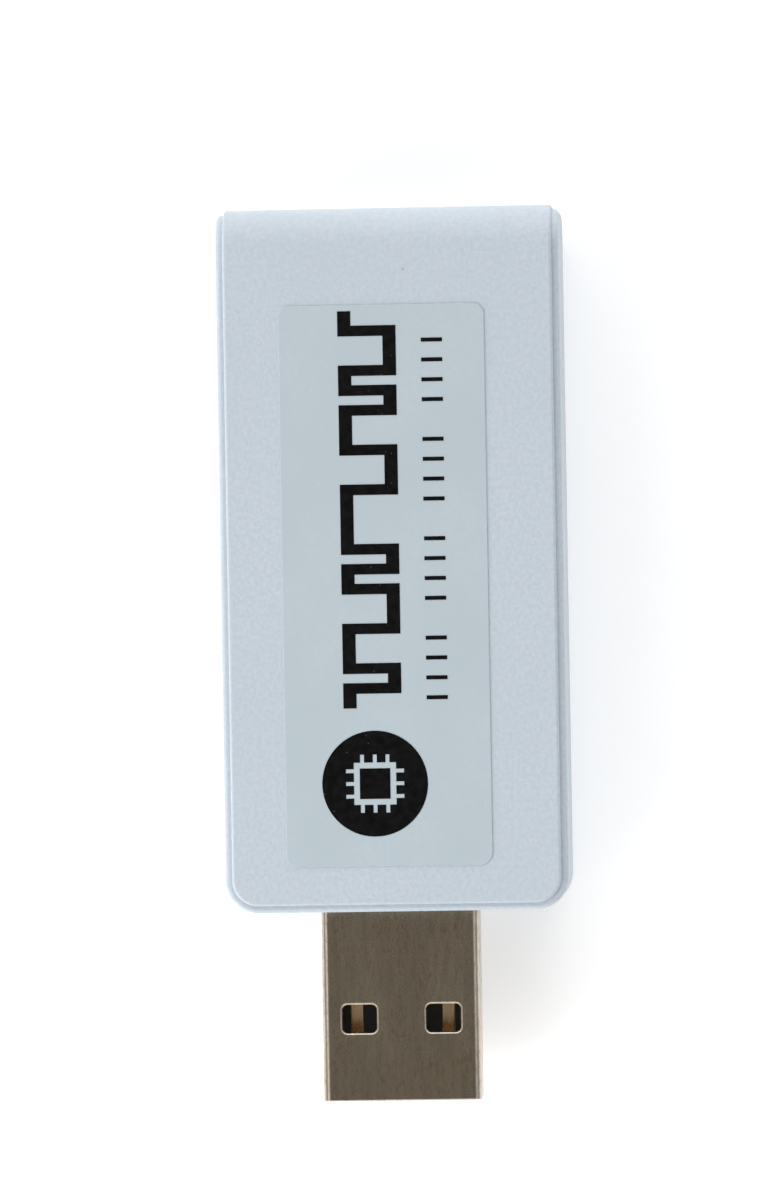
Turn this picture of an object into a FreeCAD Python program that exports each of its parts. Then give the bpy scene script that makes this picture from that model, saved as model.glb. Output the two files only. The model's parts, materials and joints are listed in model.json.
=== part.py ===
# USB microcontroller programmer: a white two-part plastic stick with a Type A plug at one end and a
# single row target socket at the other, round a populated circuit board.
#
# Frame, in millimetres: the stick lies on its back with +Z up. The plug points along -Y, the target
# socket along +Y, and X runs across. The origin is below the middle of the whole stick, on the
# surface that it lies on. Every sub-part is one object of the document, and each is written to
# parts/LABEL.step. The driving sizes are the cells of the sheet named Sizes.

import FreeCAD, Part
import math
import operator
import os

import Sketcher

SHEET = "Sizes"
SIZES = (
    # alias, value, meaning
    ("case_width", 26.0, "case, across X"),
    ("case_length", 53.3, "case, along Y, without the plug"),
    ("case_height", 12.0, "case, along Z"),
    ("side_wall", 1.5, "thickness of the case's side and end walls"),
    ("face_wall", 1.4, "thickness of the case's top and bottom"),
    ("front_corner", 2.5, "plan radius of the case's corners at the plug end"),
    ("ledge_width", 0.55, "the raised panel is this much narrower than the case, each side"),
    ("ledge_drop", 0.35, "the panel stands this much proud of the ledge"),
    ("end_radius", 3.2, "the panel rolls over the far end with this radius"),
    ("panel_round", 0.22, "rounding of the panel's edge"),
    ("ledge_round", 0.35, "rounding of the ledge's outer edge"),
    ("cavity_corner", 1.0, "plan radius inside the case"),
    ("seam_gap", 0.14, "shadow gap between the two shells"),
    ("lip_height", 0.8, "the lower shell's lip, above the seam"),
    ("lip_thickness", 0.65, "the lower shell's lip, across"),
    ("lip_clearance", 0.1, "room round the lip"),
    ("snap_radius", 0.22, "half-round snap ridges on the lip"),
    ("snap_length", 6.0, "length of a snap ridge"),
    ("snap_room", 0.06, "extra radius of the groove that takes a ridge"),
    ("opening_room", 0.12, "room round the plug and the socket where they leave the case"),
    ("plug_width", 12.0, "Type A plug, across"),
    ("plug_height", 4.5, "Type A plug, thickness"),
    ("plug_length", 19.05, "length of the plug's steel shield"),
    ("plug_reach", 14.5, "length of shield that stands out of the case"),
    ("plug_corner", 0.64, "outer bend radius of the shield"),
    ("plug_sheet", 0.3, "shield's sheet thickness"),
    ("window_width", 2.55, "latch window, across"),
    ("window_length", 2.1, "latch window, along the plug"),
    ("window_spacing", 6.4, "latch windows, centre to centre"),
    ("window_setback", 5.2, "from the plug's tip to a latch window"),
    ("window_corner", 0.35, "corner radius of a latch window"),
    ("window_roll", 0.16, "rolled edge round a latch window"),
    ("seam_slit", 0.08, "width of the shield's closing seam"),
    ("seam_key", 1.3, "reach of a key in the seam"),
    ("leg_width", 1.8, "shield's solder leg, along the plug"),
    ("leg_start", 1.1, "from the inside of the case's front wall to the solder leg"),
    ("tongue_top", 2.15, "top of the insulator's tongue above the shield's underside"),
    ("tongue_setback", 0.6, "from the plug's tip to the tongue"),
    ("tongue_room", 0.08, "room between the insulator and the shield"),
    ("void_depth", 11.2, "from the plug's tip to the back of its hollow"),
    ("contact_width", 1.0, "contact, across"),
    ("contact_sheet", 0.25, "contact's sheet thickness"),
    ("contact_proud", 0.08, "contact's top above the tongue"),
    ("power_contact", 3.5, "power and ground contacts, from the middle"),
    ("data_contact", 1.0, "data contacts, from the middle"),
    ("power_setback", 1.3, "from the plug's tip to the power and ground contacts"),
    ("data_setback", 2.3, "from the plug's tip to the data contacts"),
    ("tail_length", 1.5, "contact's foot on the board"),
    ("board_thickness", 1.2, "circuit board"),
    ("board_width", 22.4, "circuit board, across"),
    ("board_gap", 0.25, "room between the board's ends and the case"),
    ("board_corner", 0.8, "plan radius of the board's corners"),
    ("post_across", 9.3, "locating pegs, from the middle"),
    ("post_front", -14.9, "front pair of pegs, along Y"),
    ("post_back", 21.8, "back pair of pegs, along Y"),
    ("post_radius", 1.4, "hollow post under the lid"),
    ("boss_radius", 1.7, "boss under the board"),
    ("peg_radius", 0.8, "peg through the board"),
    ("peg_room", 0.1, "room round a peg, on its radius"),
    ("peg_height", 1.3, "peg above the board"),
    ("label_width", 15.6, "label, across"),
    ("label_length", 42.4, "label, along Y"),
    ("label_shift", -0.5, "middle of the label from the middle of the case"),
    ("label_margin", 3.46, "from the case's plug end to the label"),
    ("label_corner", 0.9, "corner radius of the label"),
    ("label_film", 0.08, "thickness of the label"),
    ("ink_film", 0.02, "thickness of the print"),
    ("badge_radius", 4.0, "round badge on the label"),
    ("badge_across", -1.5, "badge's middle, along X"),
    ("badge_along", -9.7, "badge's middle, along Y"),
    ("wave_start", -4.0, "printed pulse train, start along Y"),
    ("wave_bit", 1.5, "length of one printed bit"),
    ("wave_low", 0.1, "middle of the pulse train's low stroke, along X"),
    ("wave_high", -3.3, "middle of the pulse train's high stroke, along X"),
    ("wave_stroke", 1.0, "stroke of the pulse train"),
    ("tick_across", 2.5, "row of ticks, start along X"),
    ("tick_height", 1.6, "a tick, along X"),
    ("tick_width", 0.3, "a tick, along Y"),
    ("tick_pitch", 1.5, "ticks, middle to middle"),
    ("socket_pitch", 2.54, "target socket, contact to contact"),
    ("socket_height", 2.54, "target socket, along Z"),
    ("socket_depth", 8.4, "target socket, along Y"),
    ("socket_recess", 0.25, "target socket's face behind the end of the case"),
    ("socket_hole", 0.86, "square hole of the target socket"),
    ("socket_mouth", 1.5, "width of a hole's funnel at the face"),
    ("socket_tail", 1.5, "from the socket's back to its solder tails"),
    ("socket_pin", 0.25, "thickness of a pin of the target socket"),
    ("socket_pin_width", 0.5, "width of a pin of the target socket"),
    ("socket_pin_hole", 0.5, "radius of the board's holes for the tails"),
    ("socket_tail_reach", 0.6, "length of a tail below the board"),
    ("via_radius", 0.2, "small plated holes of the board"),
    ("chip_bevel", 0.12, "bevel round the top of a chip"),
    ("dimple_depth", 0.08, "depth of a chip's pin-one dimple"),
    ("lead_sheet", 0.15, "thickness of a chip's lead"),
    ("lead_height", 0.45, "underside of a lead where it leaves the chip"),
    ("lead_shoulder", 0.4, "level run of a lead"),
    ("lead_slope", 0.15, "run of a lead's slope"),
    ("lead_foot", 0.5, "level foot of a lead"),
    ("crystal_across", -6.9, "middle of the crystal, along X"),
    ("crystal_along", -2.6, "middle of the crystal, along Y"),
    ("crystal_length", 10.0, "crystal's can, along Y"),
    ("crystal_width", 4.2, "crystal's can, across"),
    ("crystal_corner", 2.05, "end radius of the can"),
    ("crystal_brim", 0.25, "base beyond the can"),
    ("crystal_base", 0.5, "thickness of the crystal's base"),
    ("crystal_height", 3.5, "crystal, above the board"),
    ("crystal_crown", 0.4, "rounding of the can's top"),
)


class Dim:
    """A length, held both as a number and as the sheet expression that gives it."""

    def __init__(self, number, text):
        self.number = float(number)
        self.text = text

    def __add__(self, other):
        return combined(self, "+", other)

    def __radd__(self, other):
        return combined(other, "+", self)

    def __sub__(self, other):
        return combined(self, "-", other)

    def __rsub__(self, other):
        return combined(other, "-", self)

    def __mul__(self, other):
        return combined(self, "*", other)

    def __rmul__(self, other):
        return combined(other, "*", self)

    def __truediv__(self, other):
        return combined(self, "/", other)

    def __neg__(self):
        return combined(0.0, "-", self)


OPERATIONS = {"+": operator.add, "-": operator.sub, "*": operator.mul, "/": operator.truediv}


def as_dim(value):
    """The value as a Dim; a plain number is its own expression."""
    return value if isinstance(value, Dim) else Dim(value, f"({float(value)})")


def combined(left, sign, right):
    """Two lengths joined by an operation, as a number and as an expression."""
    left, right = as_dim(left), as_dim(right)
    number = OPERATIONS[sign](left.number, right.number)
    return Dim(number, f"({left.text} {sign} {right.text})")


class Sheet:
    """The document's spreadsheet, read as attributes: sheet.case_width is a Dim."""

    def __init__(self, document):
        self.cells = document.addObject("Spreadsheet::Sheet", SHEET)
        for row, (alias, value, meaning) in enumerate(SIZES, start=1):
            self.cells.set(f"A{row}", meaning)
            self.cells.set(f"B{row}", str(value))
            self.cells.setAlias(f"B{row}", alias)
        document.recompute()

    def __getattr__(self, alias):
        return Dim(self.cells.get(alias), f"{SHEET}.{alias}")


doc = FreeCAD.newDocument("usb_programmer")
size = Sheet(doc)

# Places that several sub-parts share, worked out from the sheet.
tip_y = -(size.case_length + size.plug_reach) / 2
front_y = tip_y + size.plug_reach
back_y = front_y + size.case_length
seam_z = size.case_height / 2
lid_z = seam_z + size.seam_gap
roof_z = size.case_height - size.face_wall
half_width = size.case_width / 2
core_back_y = back_y - size.ledge_drop
cavity_x = half_width - size.side_wall
cavity_front_y = front_y + size.side_wall
cavity_back_y = core_back_y - size.side_wall
plug_low_z = seam_z - size.plug_height / 2
plug_high_z = seam_z + size.plug_height / 2
board_top_z = plug_low_z
board_low_z = board_top_z - size.board_thickness
board_front_y = cavity_front_y + size.board_gap
board_back_y = cavity_back_y - size.board_gap
socket_face_y = back_y - size.socket_recess
socket_back_y = socket_face_y - size.socket_depth
SOCKET_WAYS = 6
socket_half = size.socket_pitch * SOCKET_WAYS / 2
POST_ROWS = (size.post_front, size.post_back)
SNAP_ROWS = (-8.0, 14.0)
DIMPLE_INSET = 0.18
DIMPLE_RADIUS = 0.07
SEAM_SHARES = (0.3, 0.45, 0.7, 0.85)
CONTACTS = (
    # label, place across, setback from the plug's tip
    ("contact_power", size.power_contact, size.power_setback),
    ("contact_data_minus", size.data_contact, size.data_setback),
    ("contact_data_plus", -size.data_contact, size.data_setback),
    ("contact_ground", -size.power_contact, size.power_setback),
)
finished = []


def vector(x=0.0, y=0.0, z=0.0):
    """A point or direction."""
    return FreeCAD.Vector(x, y, z)


def bind(thing, path, length):
    """Drives one property of an object from the sheet."""
    thing.setExpression(path, as_dim(length).text)


def set_place(thing, x=0.0, y=0.0, z=0.0):
    """Puts an object at a place that the sheet drives."""
    for axis, length in zip("xyz", (x, y, z)):
        bind(thing, f"Placement.Base.{axis}", length)


def new_body(label, in_pieces=False):
    """A PartDesign body that becomes one sub-part; in_pieces lets it hold separate solids."""
    body = doc.addObject("PartDesign::Body", label)
    body.AllowCompound = in_pieces
    finished.append(body)
    return body


def origin_feature(body, role):
    """One of the body's own origin planes or axes."""
    return next(f for f in body.Origin.OriginFeatures if f.Role == role)


class Profile:
    """A sketch on one of a body's origin planes, moved along the plane's normal by an offset."""

    def __init__(self, body, name, plane, offset=0.0):
        self.sketch = body.newObject("Sketcher::SketchObject", f"{name}_sketch")
        self.sketch.AttachmentSupport = [(origin_feature(body, f"{plane}_Plane"), "")]
        self.sketch.MapMode = "FlatFace"
        bind(self.sketch, "AttachmentOffset.Base.z", offset)
        self.held = 0

    def hold(self, kind, references, length):
        """Adds one dimension and binds it to the sheet."""
        length = as_dim(length)
        index = self.sketch.addConstraint(Sketcher.Constraint(kind, *references, length.number))
        name = f"held_{self.held}"
        self.held += 1
        self.sketch.renameConstraint(index, name)
        self.sketch.setExpression(f"Constraints.{name}", length.text)

    def place(self, geometry, point, across, up):
        """Holds a point of one geometry at distances from the sketch's origin."""
        for kind, axis, length in (("DistanceX", -2, across), ("DistanceY", -1, up)):
            if as_dim(length).number == 0.0:
                self.sketch.addConstraint(Sketcher.Constraint("PointOnObject", geometry, point, axis))
            else:
                self.hold(kind, (-1, 1, geometry, point), length)

    def circle(self, across, up, radius):
        """A circle at a place."""
        middle = vector(as_dim(across).number, as_dim(up).number)
        shape = Part.Circle(middle, vector(z=1.0), as_dim(radius).number)
        index = self.sketch.addGeometry(shape, False)
        self.place(index, 3, across, up)
        self.hold("Radius", (index,), radius)
        return self

    def polygon(self, points):
        """A closed outline of straight sides through the points."""
        ends = [vector(as_dim(a).number, as_dim(b).number) for a, b in points]
        lines = []
        for n, end in enumerate(ends):
            lines.append(self.sketch.addGeometry(Part.LineSegment(end, ends[(n + 1) % len(ends)]), False))
        for n, line in enumerate(lines):
            after = lines[(n + 1) % len(lines)]
            self.sketch.addConstraint(Sketcher.Constraint("Coincident", line, 2, after, 1))
            self.place(line, 1, *points[n])
        return self

    def rectangle(self, left, right, low, high):
        """A square-cornered rectangle."""
        return self.polygon(((left, low), (right, low), (right, high), (left, high)))

    def rounded(self, left, right, low, high, low_radius, high_radius=None):
        """A rectangle with round corners; high_radius is for the two far corners, 0 for square ones."""
        high_radius = low_radius if high_radius is None else high_radius
        left, right, low, high = (as_dim(v) for v in (left, right, low, high))
        a, b = as_dim(low_radius), as_dim(high_radius)
        square = b.number == 0.0
        corner = (
            # middle of the arc, radius, start and end of its sweep in quarter turns
            (right - a, low + a, a, -1),
            (right - b, high - b, b, 0),
            (left + b, high - b, b, 1),
            (left + a, low + a, a, 2),
        )
        sides = (
            (left + a, low, right - a, low),
            (right, low + a, right, high - b),
            (right - b, high, left + b, high),
            (left, high - b, left, low + a),
        )
        lines = []
        for x0, y0, x1, y1 in sides:
            segment = Part.LineSegment(vector(x0.number, y0.number), vector(x1.number, y1.number))
            lines.append(self.sketch.addGeometry(segment, False))
        for n, (x, y, radius, quarter) in enumerate(corner):
            before, after = lines[n], lines[(n + 1) % 4]
            if square and n in (1, 2):
                self.sketch.addConstraint(Sketcher.Constraint("Coincident", before, 2, after, 1))
                continue
            circle = Part.Circle(vector(x.number, y.number), vector(z=1.0), radius.number)
            quarter_turn = math.pi / 2
            arc = Part.ArcOfCircle(circle, quarter * quarter_turn, (quarter + 1) * quarter_turn)
            index = self.sketch.addGeometry(arc, False)
            self.sketch.addConstraint(Sketcher.Constraint("Tangent", before, 2, index, 1))
            self.sketch.addConstraint(Sketcher.Constraint("Tangent", index, 2, after, 1))
            self.hold("Radius", (index,), radius)
        for line, kind in zip(lines, ("Horizontal", "Vertical", "Horizontal", "Vertical")):
            self.sketch.addConstraint(Sketcher.Constraint(kind, line))
        self.hold("DistanceX", (-1, 1, lines[1], 1), right)
        self.hold("DistanceX", (-1, 1, lines[3], 1), left)
        self.hold("DistanceY", (-1, 1, lines[0], 1), low)
        self.hold("DistanceY", (-1, 1, lines[2], 1), high)
        return self


def recompute_and_compare(feature, volume_before, grows):
    """Rebuilds the document and stops if a feature failed or changed nothing."""
    doc.recompute()
    change = feature.Shape.Volume - volume_before
    if "Up-to-date" not in feature.State or (change <= 0.0 if grows else change >= 0.0):
        raise RuntimeError(f"{feature.Name} changed the volume by {change:.4f}: {feature.State}")
    return feature


def tip_volume(body):
    """Volume of the body so far."""
    return body.Tip.Shape.Volume if body.Tip and not body.Tip.Shape.isNull() else 0.0


def pad(body, name, profile, length, symmetric=False, against=False):
    """Adds a prism over the profile, along the sketch's normal or against it."""
    before = tip_volume(body)
    feature = body.newObject("PartDesign::Pad", name)
    feature.Profile = (profile.sketch, [""])
    feature.SideType = "Symmetric" if symmetric else "One side"
    feature.Reversed = against
    bind(feature, "Length", length)
    return recompute_and_compare(feature, before, grows=True)


def pocket(body, name, profile, depth, symmetric=False, along=False):
    """Takes away a prism under the profile, against the sketch's normal or along it."""
    before = tip_volume(body)
    feature = body.newObject("PartDesign::Pocket", name)
    feature.Profile = (profile.sketch, [""])
    feature.SideType = "Symmetric" if symmetric else "One side"
    feature.Reversed = along
    bind(feature, "Length", depth)
    return recompute_and_compare(feature, before, grows=False)


def edges_inside(shape, low, high, slack=0.02):
    """Names of the edges that lie wholly inside a box."""
    box = FreeCAD.BoundBox(*(v - slack for v in low), *(v + slack for v in high))
    return [f"Edge{n}" for n, edge in enumerate(shape.Edges, start=1) if box.isInside(edge.BoundBox)]


def dress(body, kind, name, length, low, high):
    """A Fillet or Chamfer on the tip's edges inside a box; it runs on along smooth edges."""
    base = body.Tip
    chosen = edges_inside(base.Shape, [as_dim(v).number for v in low], [as_dim(v).number for v in high])
    if not chosen:
        raise RuntimeError(f"{name} found no edge to work on")
    feature = body.newObject(f"PartDesign::{kind}", name)
    feature.Base = (base, chosen)
    bind(feature, "Radius" if kind == "Fillet" else "Size", length)
    doc.recompute()
    if "Up-to-date" not in feature.State:
        raise RuntimeError(f"{name} failed: {feature.State}")
    return feature


def row_pattern(body, name, axis, pitch, count, originals=()):
    """Repeats features, or the whole body when none are named, at a pitch along an origin axis."""
    feature = body.newObject("PartDesign::LinearPattern", name)
    feature.Originals = list(originals)
    if not originals:
        feature.TransformMode = "Whole shape"
    feature.Direction = (origin_feature(body, f"{axis}_Axis"), [""])
    feature.Mode = "Spacing"
    bind(feature, "Offset", pitch)
    feature.Occurrences = count
    body.Tip = feature
    doc.recompute()
    return feature


def turn_pattern(body, name, count):
    """Repeats the whole body round its own Z axis."""
    feature = body.newObject("PartDesign::PolarPattern", name)
    feature.TransformMode = "Whole shape"
    feature.Axis = (origin_feature(body, "Z_Axis"), [""])
    feature.Angle = 360.0
    feature.Occurrences = count
    body.Tip = feature
    doc.recompute()
    return feature


def new_box(name, length, width, height, x=0.0, y=0.0, z=0.0, centred=True):
    """A Part box; centred puts x and y at its middle, and z is always its underside."""
    box = doc.addObject("Part::Box", name)
    for path, span in (("Length", length), ("Width", width), ("Height", height)):
        bind(box, path, span)
    if centred:
        x, y = x - as_dim(length) / 2, y - as_dim(width) / 2
    set_place(box, x, y, z)
    return box


def gather(label, pieces, join="Part::Compound"):
    """One sub-part made of several objects: separate solids, or fused ones with Part::MultiFuse."""
    group = doc.addObject(join, label)
    if join == "Part::Compound":
        group.Links = pieces
    else:
        group.Shapes = pieces
        group.Refine = True
    doc.recompute()
    return group


# --- case ------------------------------------------------------------------------------------------


def side_slab(body, name, half, front, back, seam, outer, radius, upward):
    """Adds a slab across X whose side view has one corner rolled over: the far end's outer one.

    Seam is its level at the joint between the shells and outer its level at the face.
    """
    profile = Profile(body, name, "YZ")
    low, high = (seam, outer) if upward else (outer, seam)
    profile.rectangle(front, back, low, high)
    pad(body, name, profile, half * 2, symmetric=True)
    edge = (-half, back, outer), (half, back, outer)
    dress(body, "Fillet", f"{name}_roll", radius, *edge)


def case_outside(body, prefix, upward):
    """The outer form of one shell: a core with a ledge, and the panel that stands proud of it.

    The panel is flat, with round corners at the plug end, and rolls over the far end.
    """
    outer = size.case_height if upward else as_dim(0.0)
    step = size.ledge_drop if upward else -size.ledge_drop
    ledge = outer - step
    seam = lid_z if upward else seam_z
    inset = half_width - size.ledge_width
    panel_front = front_y + size.ledge_width
    roll_start = back_y - size.end_radius
    side_slab(
        body, f"{prefix}_core", half_width, front_y, core_back_y, seam, ledge,
        size.end_radius - size.ledge_drop, upward,
    )
    for side in (-1, 1):
        corner_x = half_width * side
        low, high = sorted((seam.number, ledge.number))
        ends = (corner_x, front_y, low), (corner_x, front_y, high)
        dress(body, "Fillet", f"{prefix}_corner", size.front_corner, *ends)
    reach = size.front_corner
    front_edge = (-half_width + reach, front_y, ledge), (half_width - reach, front_y, ledge)
    dress(body, "Fillet", f"{prefix}_ledge_round", size.ledge_round, *front_edge)
    panel = Profile(body, f"{prefix}_panel", "XY", ledge)
    panel.rounded(-inset, inset, panel_front, roll_start, size.front_corner - size.ledge_width, 0.0)
    pad(body, f"{prefix}_panel", panel, size.ledge_drop, against=not upward)
    wrap_front = roll_start - size.end_radius
    side_view = Profile(body, f"{prefix}_wrap", "YZ")
    side_view.rectangle(wrap_front, back_y, *((seam, outer) if upward else (outer, seam)))
    pad(body, f"{prefix}_wrap", side_view, inset * 2, symmetric=True)
    far_edge = (-inset, back_y, outer), (inset, back_y, outer)
    dress(body, "Fillet", f"{prefix}_wrap_roll", size.end_radius, *far_edge)
    front_line = (-inset, panel_front, outer), (inset, panel_front, outer)
    dress(body, "Fillet", f"{prefix}_panel_round", size.panel_round, *front_line)


def case_hollow(body, prefix, upward):
    """The room inside one shell, open at the seam."""
    room = Profile(body, f"{prefix}_room", "XY", seam_z)
    room.rounded(-cavity_x, cavity_x, cavity_front_y, cavity_back_y, size.cavity_corner)
    depth = (roof_z - seam_z) if upward else (seam_z - size.face_wall)
    pocket(body, f"{prefix}_room", room, depth, along=upward)


def end_openings(body, prefix):
    """Cuts the plug's and the target socket's ways out through the two end walls."""
    room = size.opening_room
    plug = Profile(body, f"{prefix}_plug_way", "XZ", -front_y)
    half = size.plug_width / 2 + room
    plug.rounded(-half, half, plug_low_z - room, plug_high_z + room, size.plug_corner + room)
    pocket(body, f"{prefix}_plug_way", plug, size.side_wall * 3, symmetric=True)
    socket = Profile(body, f"{prefix}_socket_way", "XZ", -back_y)
    half = socket_half + room
    low, high = board_top_z - room, board_top_z + size.socket_height + room
    socket.rounded(-half, half, low, high, room * 2)
    pocket(body, f"{prefix}_socket_way", socket, size.side_wall * 5, symmetric=True)


def snap_profile(body, name, along_y, radius):
    """Two circles on the outer face of the lip, one each side, seen from the plug's end."""
    profile = Profile(body, name, "XZ", -(along_y + size.snap_length / 2))
    across = cavity_x + size.lip_thickness
    up = seam_z + size.lip_height * 0.6
    return profile.circle(-across, up, radius).circle(across, up, radius)


def build_upper_shell():
    """Lid: outside, room, groove for the lip, hollow posts and snap grooves."""
    body = new_body("upper_shell")
    case_outside(body, "lid", upward=True)
    case_hollow(body, "lid", upward=True)
    spread = size.lip_thickness + size.lip_clearance
    groove = Profile(body, "lid_groove", "XY", seam_z)
    groove.rounded(
        -cavity_x - spread, cavity_x + spread, cavity_front_y - spread, cavity_back_y + spread,
        size.cavity_corner + spread,
    )
    pocket(body, "lid_groove", groove, size.lip_height + size.lip_clearance, along=True)
    for row, along_y in enumerate(SNAP_ROWS):
        groove = snap_profile(body, f"snap_groove_{row}", along_y, size.snap_radius + size.snap_room)
        pocket(body, f"snap_groove_{row}", groove, size.snap_length)
    post_low = board_top_z + size.seam_gap
    for post_y in POST_ROWS:
        posts = Profile(body, "posts", "XY", post_low)
        bores = Profile(body, "bores", "XY", post_low)
        for side in (-1, 1):
            posts.circle(size.post_across * side, post_y, size.post_radius)
            bores.circle(size.post_across * side, post_y, size.peg_radius + size.peg_room)
        pad(body, "posts", posts, roof_z - post_low + size.seam_gap)
        pocket(body, "bores", bores, roof_z - post_low, along=True)
    end_openings(body, "lid")


def build_lower_shell():
    """Base: outside, room, lip with snap ridges, and bosses with pegs that carry the board."""
    body = new_body("lower_shell")
    case_outside(body, "base", upward=False)
    case_hollow(body, "base", upward=False)
    thick = size.lip_thickness
    lip = Profile(body, "lip", "XY", seam_z)
    lip.rounded(
        -cavity_x - thick, cavity_x + thick, cavity_front_y - thick, cavity_back_y + thick,
        size.cavity_corner + thick,
    )
    lip.rounded(-cavity_x, cavity_x, cavity_front_y, cavity_back_y, size.cavity_corner)
    pad(body, "lip", lip, size.lip_height)
    for row, along_y in enumerate(SNAP_ROWS):
        ridge = snap_profile(body, f"snap_ridge_{row}", along_y, size.snap_radius)
        pad(body, f"snap_ridge_{row}", ridge, size.snap_length, against=True)
    floor_z = size.face_wall
    for post_y in POST_ROWS:
        bosses = Profile(body, "bosses", "XY", floor_z - size.seam_gap)
        pegs = Profile(body, "pegs", "XY", floor_z)
        for side in (-1, 1):
            bosses.circle(size.post_across * side, post_y, size.boss_radius)
            pegs.circle(size.post_across * side, post_y, size.peg_radius)
        pad(body, "bosses", bosses, board_low_z - floor_z + size.seam_gap)
        pad(body, "pegs", pegs, board_top_z + size.peg_height - floor_z)
    end_openings(body, "base")


# --- label -----------------------------------------------------------------------------------------


def build_label():
    """The clear film stuck on the panel."""
    body = new_body("front_label")
    left = size.label_shift - size.label_width / 2
    low = front_y + size.label_margin
    film = Profile(body, "film", "XY", size.case_height)
    film.rounded(left, left + size.label_width, low, low + size.label_length, size.label_corner)
    pad(body, "film", film, size.label_film)


def printed_badge(ink_z):
    """A round badge with the outline of a chip left clear: a square ring with pins on its sides."""
    disc = doc.addObject("Part::Cylinder", "badge_disc")
    bind(disc, "Radius", size.badge_radius)
    bind(disc, "Height", size.ink_film)
    set_place(disc, size.badge_across, size.badge_along, ink_z)
    chip = size.badge_radius * 0.8
    core = chip * 0.72
    pin = size.tick_width
    x, y = size.badge_across, size.badge_along
    clear = []
    for side in (-1, 1):
        offset = (chip + core) / 4 * side
        bar = (chip - core) / 2
        clear.append(new_box("chip_side", bar, chip, size.ink_film, x + offset, y, ink_z))
        clear.append(new_box("chip_side", chip, bar, size.ink_film, x, y + offset, ink_z))
        for row in (-1, 0, 1):
            step = chip * 0.3 * row
            reach = (chip / 2 + pin) * side
            clear.append(new_box("chip_pin", pin * 2, pin, size.ink_film, x + reach, y + step, ink_z))
            clear.append(new_box("chip_pin", pin, pin * 2, size.ink_film, x + step, y + reach, ink_z))
    badge = doc.addObject("Part::Cut", "badge")
    badge.Base = disc
    badge.Tool = gather("chip_outline", clear, "Part::MultiFuse")
    return badge


def printed_wave(ink_z):
    """A pulse train in one bold stroke: a run for each bit, and a riser wherever the bit changes."""
    bits = "10110010111001101001"
    levels = {"0": size.wave_low, "1": size.wave_high}
    stroke, bit = size.wave_stroke, size.wave_bit
    runs = []
    for n, state in enumerate(bits):
        start = size.wave_start + bit * n
        runs.append(new_box("run", stroke, bit, size.ink_film, levels[state], start + bit / 2, ink_z))
        if n and bits[n - 1] != state:
            middle = (size.wave_low + size.wave_high) / 2
            rise = size.wave_low - size.wave_high + stroke
            runs.append(new_box("riser", rise, stroke * 0.8, size.ink_film, middle, start, ink_z))
    return gather("wave", runs, "Part::MultiFuse")


def printed_ticks(ink_z):
    """A row of small ticks beside the pulse train, one to a bit, with every fifth one left out."""
    ticks = []
    for n in range(20):
        if n % 5 != 4:
            middle = size.wave_start + size.tick_pitch * (n + 0.5)
            span = size.tick_height
            x = size.tick_across + span / 2
            ticks.append(new_box("tick", span, size.tick_width, size.ink_film, x, middle, ink_z))
    return ticks


def build_print():
    """The black print on the label: badge, pulse train and ticks."""
    ink_z = size.case_height + size.label_film
    pieces = [printed_badge(ink_z), printed_wave(ink_z), *printed_ticks(ink_z)]
    finished.append(gather("label_print", pieces))


# --- plug ------------------------------------------------------------------------------------------


def window_outlines(profile, grow=0.0):
    """Adds the two latch windows to a plan sketch."""
    low = tip_y + size.window_setback - grow
    high = tip_y + size.window_setback + size.window_length + grow
    for side in (-1, 1):
        middle = size.window_spacing / 2 * side
        half = size.window_width / 2 + grow
        profile.rounded(middle - half, middle + half, low, high, size.window_corner)
    return profile


def seam_edge(side):
    """Corners down one side of the shield's closing seam, a narrow slit that jogs round two keys."""
    stops = [tip_y - size.plug_sheet]
    stops += [tip_y + size.plug_length * share for share in SEAM_SHARES]
    stops.append(tip_y + size.plug_length + size.plug_sheet)
    slit = size.seam_slit / 2 * side
    corners = []
    for n, (start, end) in enumerate(zip(stops, stops[1:])):
        on_key = n % 2 == 1
        shift = size.seam_key if on_key else as_dim(0.0)
        jog = -slit if on_key else slit
        corners += [(shift + slit, start + jog), (shift + slit, end - jog)]
    return corners


def build_shield():
    """The folded steel tube, with latch windows above and below, a keyed seam and solder legs."""
    body = new_body("plug_shield")
    half, sheet = size.plug_width / 2, size.plug_sheet
    tube = Profile(body, "tube", "XZ", -tip_y)
    tube.rounded(-half, half, plug_low_z, plug_high_z, size.plug_corner)
    tube.rounded(
        -half + sheet, half - sheet, plug_low_z + sheet, plug_high_z - sheet, size.plug_corner - sheet,
    )
    pad(body, "tube", tube, size.plug_length, against=True)
    for name, start, face in (
        ("top", plug_high_z + sheet, plug_high_z),
        ("bottom", plug_low_z + sheet * 3, plug_low_z),
    ):
        windows = window_outlines(Profile(body, f"{name}_windows", "XY", start))
        pocket(body, f"{name}_windows", windows, sheet * 4)
        low = tip_y + size.window_setback
        box = (-half, low, face), (half, low + size.window_length, face)
        dress(body, "Chamfer", f"{name}_window_roll", size.window_roll, *box)
    seam = Profile(body, "seam", "XY", plug_low_z + sheet * 1.5)
    seam.polygon(seam_edge(-1) + seam_edge(1)[::-1])
    pocket(body, "seam", seam, sheet * 3)
    leg_y = cavity_front_y + size.leg_start
    for side in (-1, 1):
        leg = Profile(body, f"leg_{side}", "XY", board_low_z - size.plug_corner)
        edges = sorted(((half * side), ((half - sheet) * side)), key=lambda dim: dim.number)
        leg.rectangle(*edges, leg_y, leg_y + size.leg_width)
        pad(body, f"leg_{side}", leg, seam_z - board_low_z + size.plug_corner)


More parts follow.
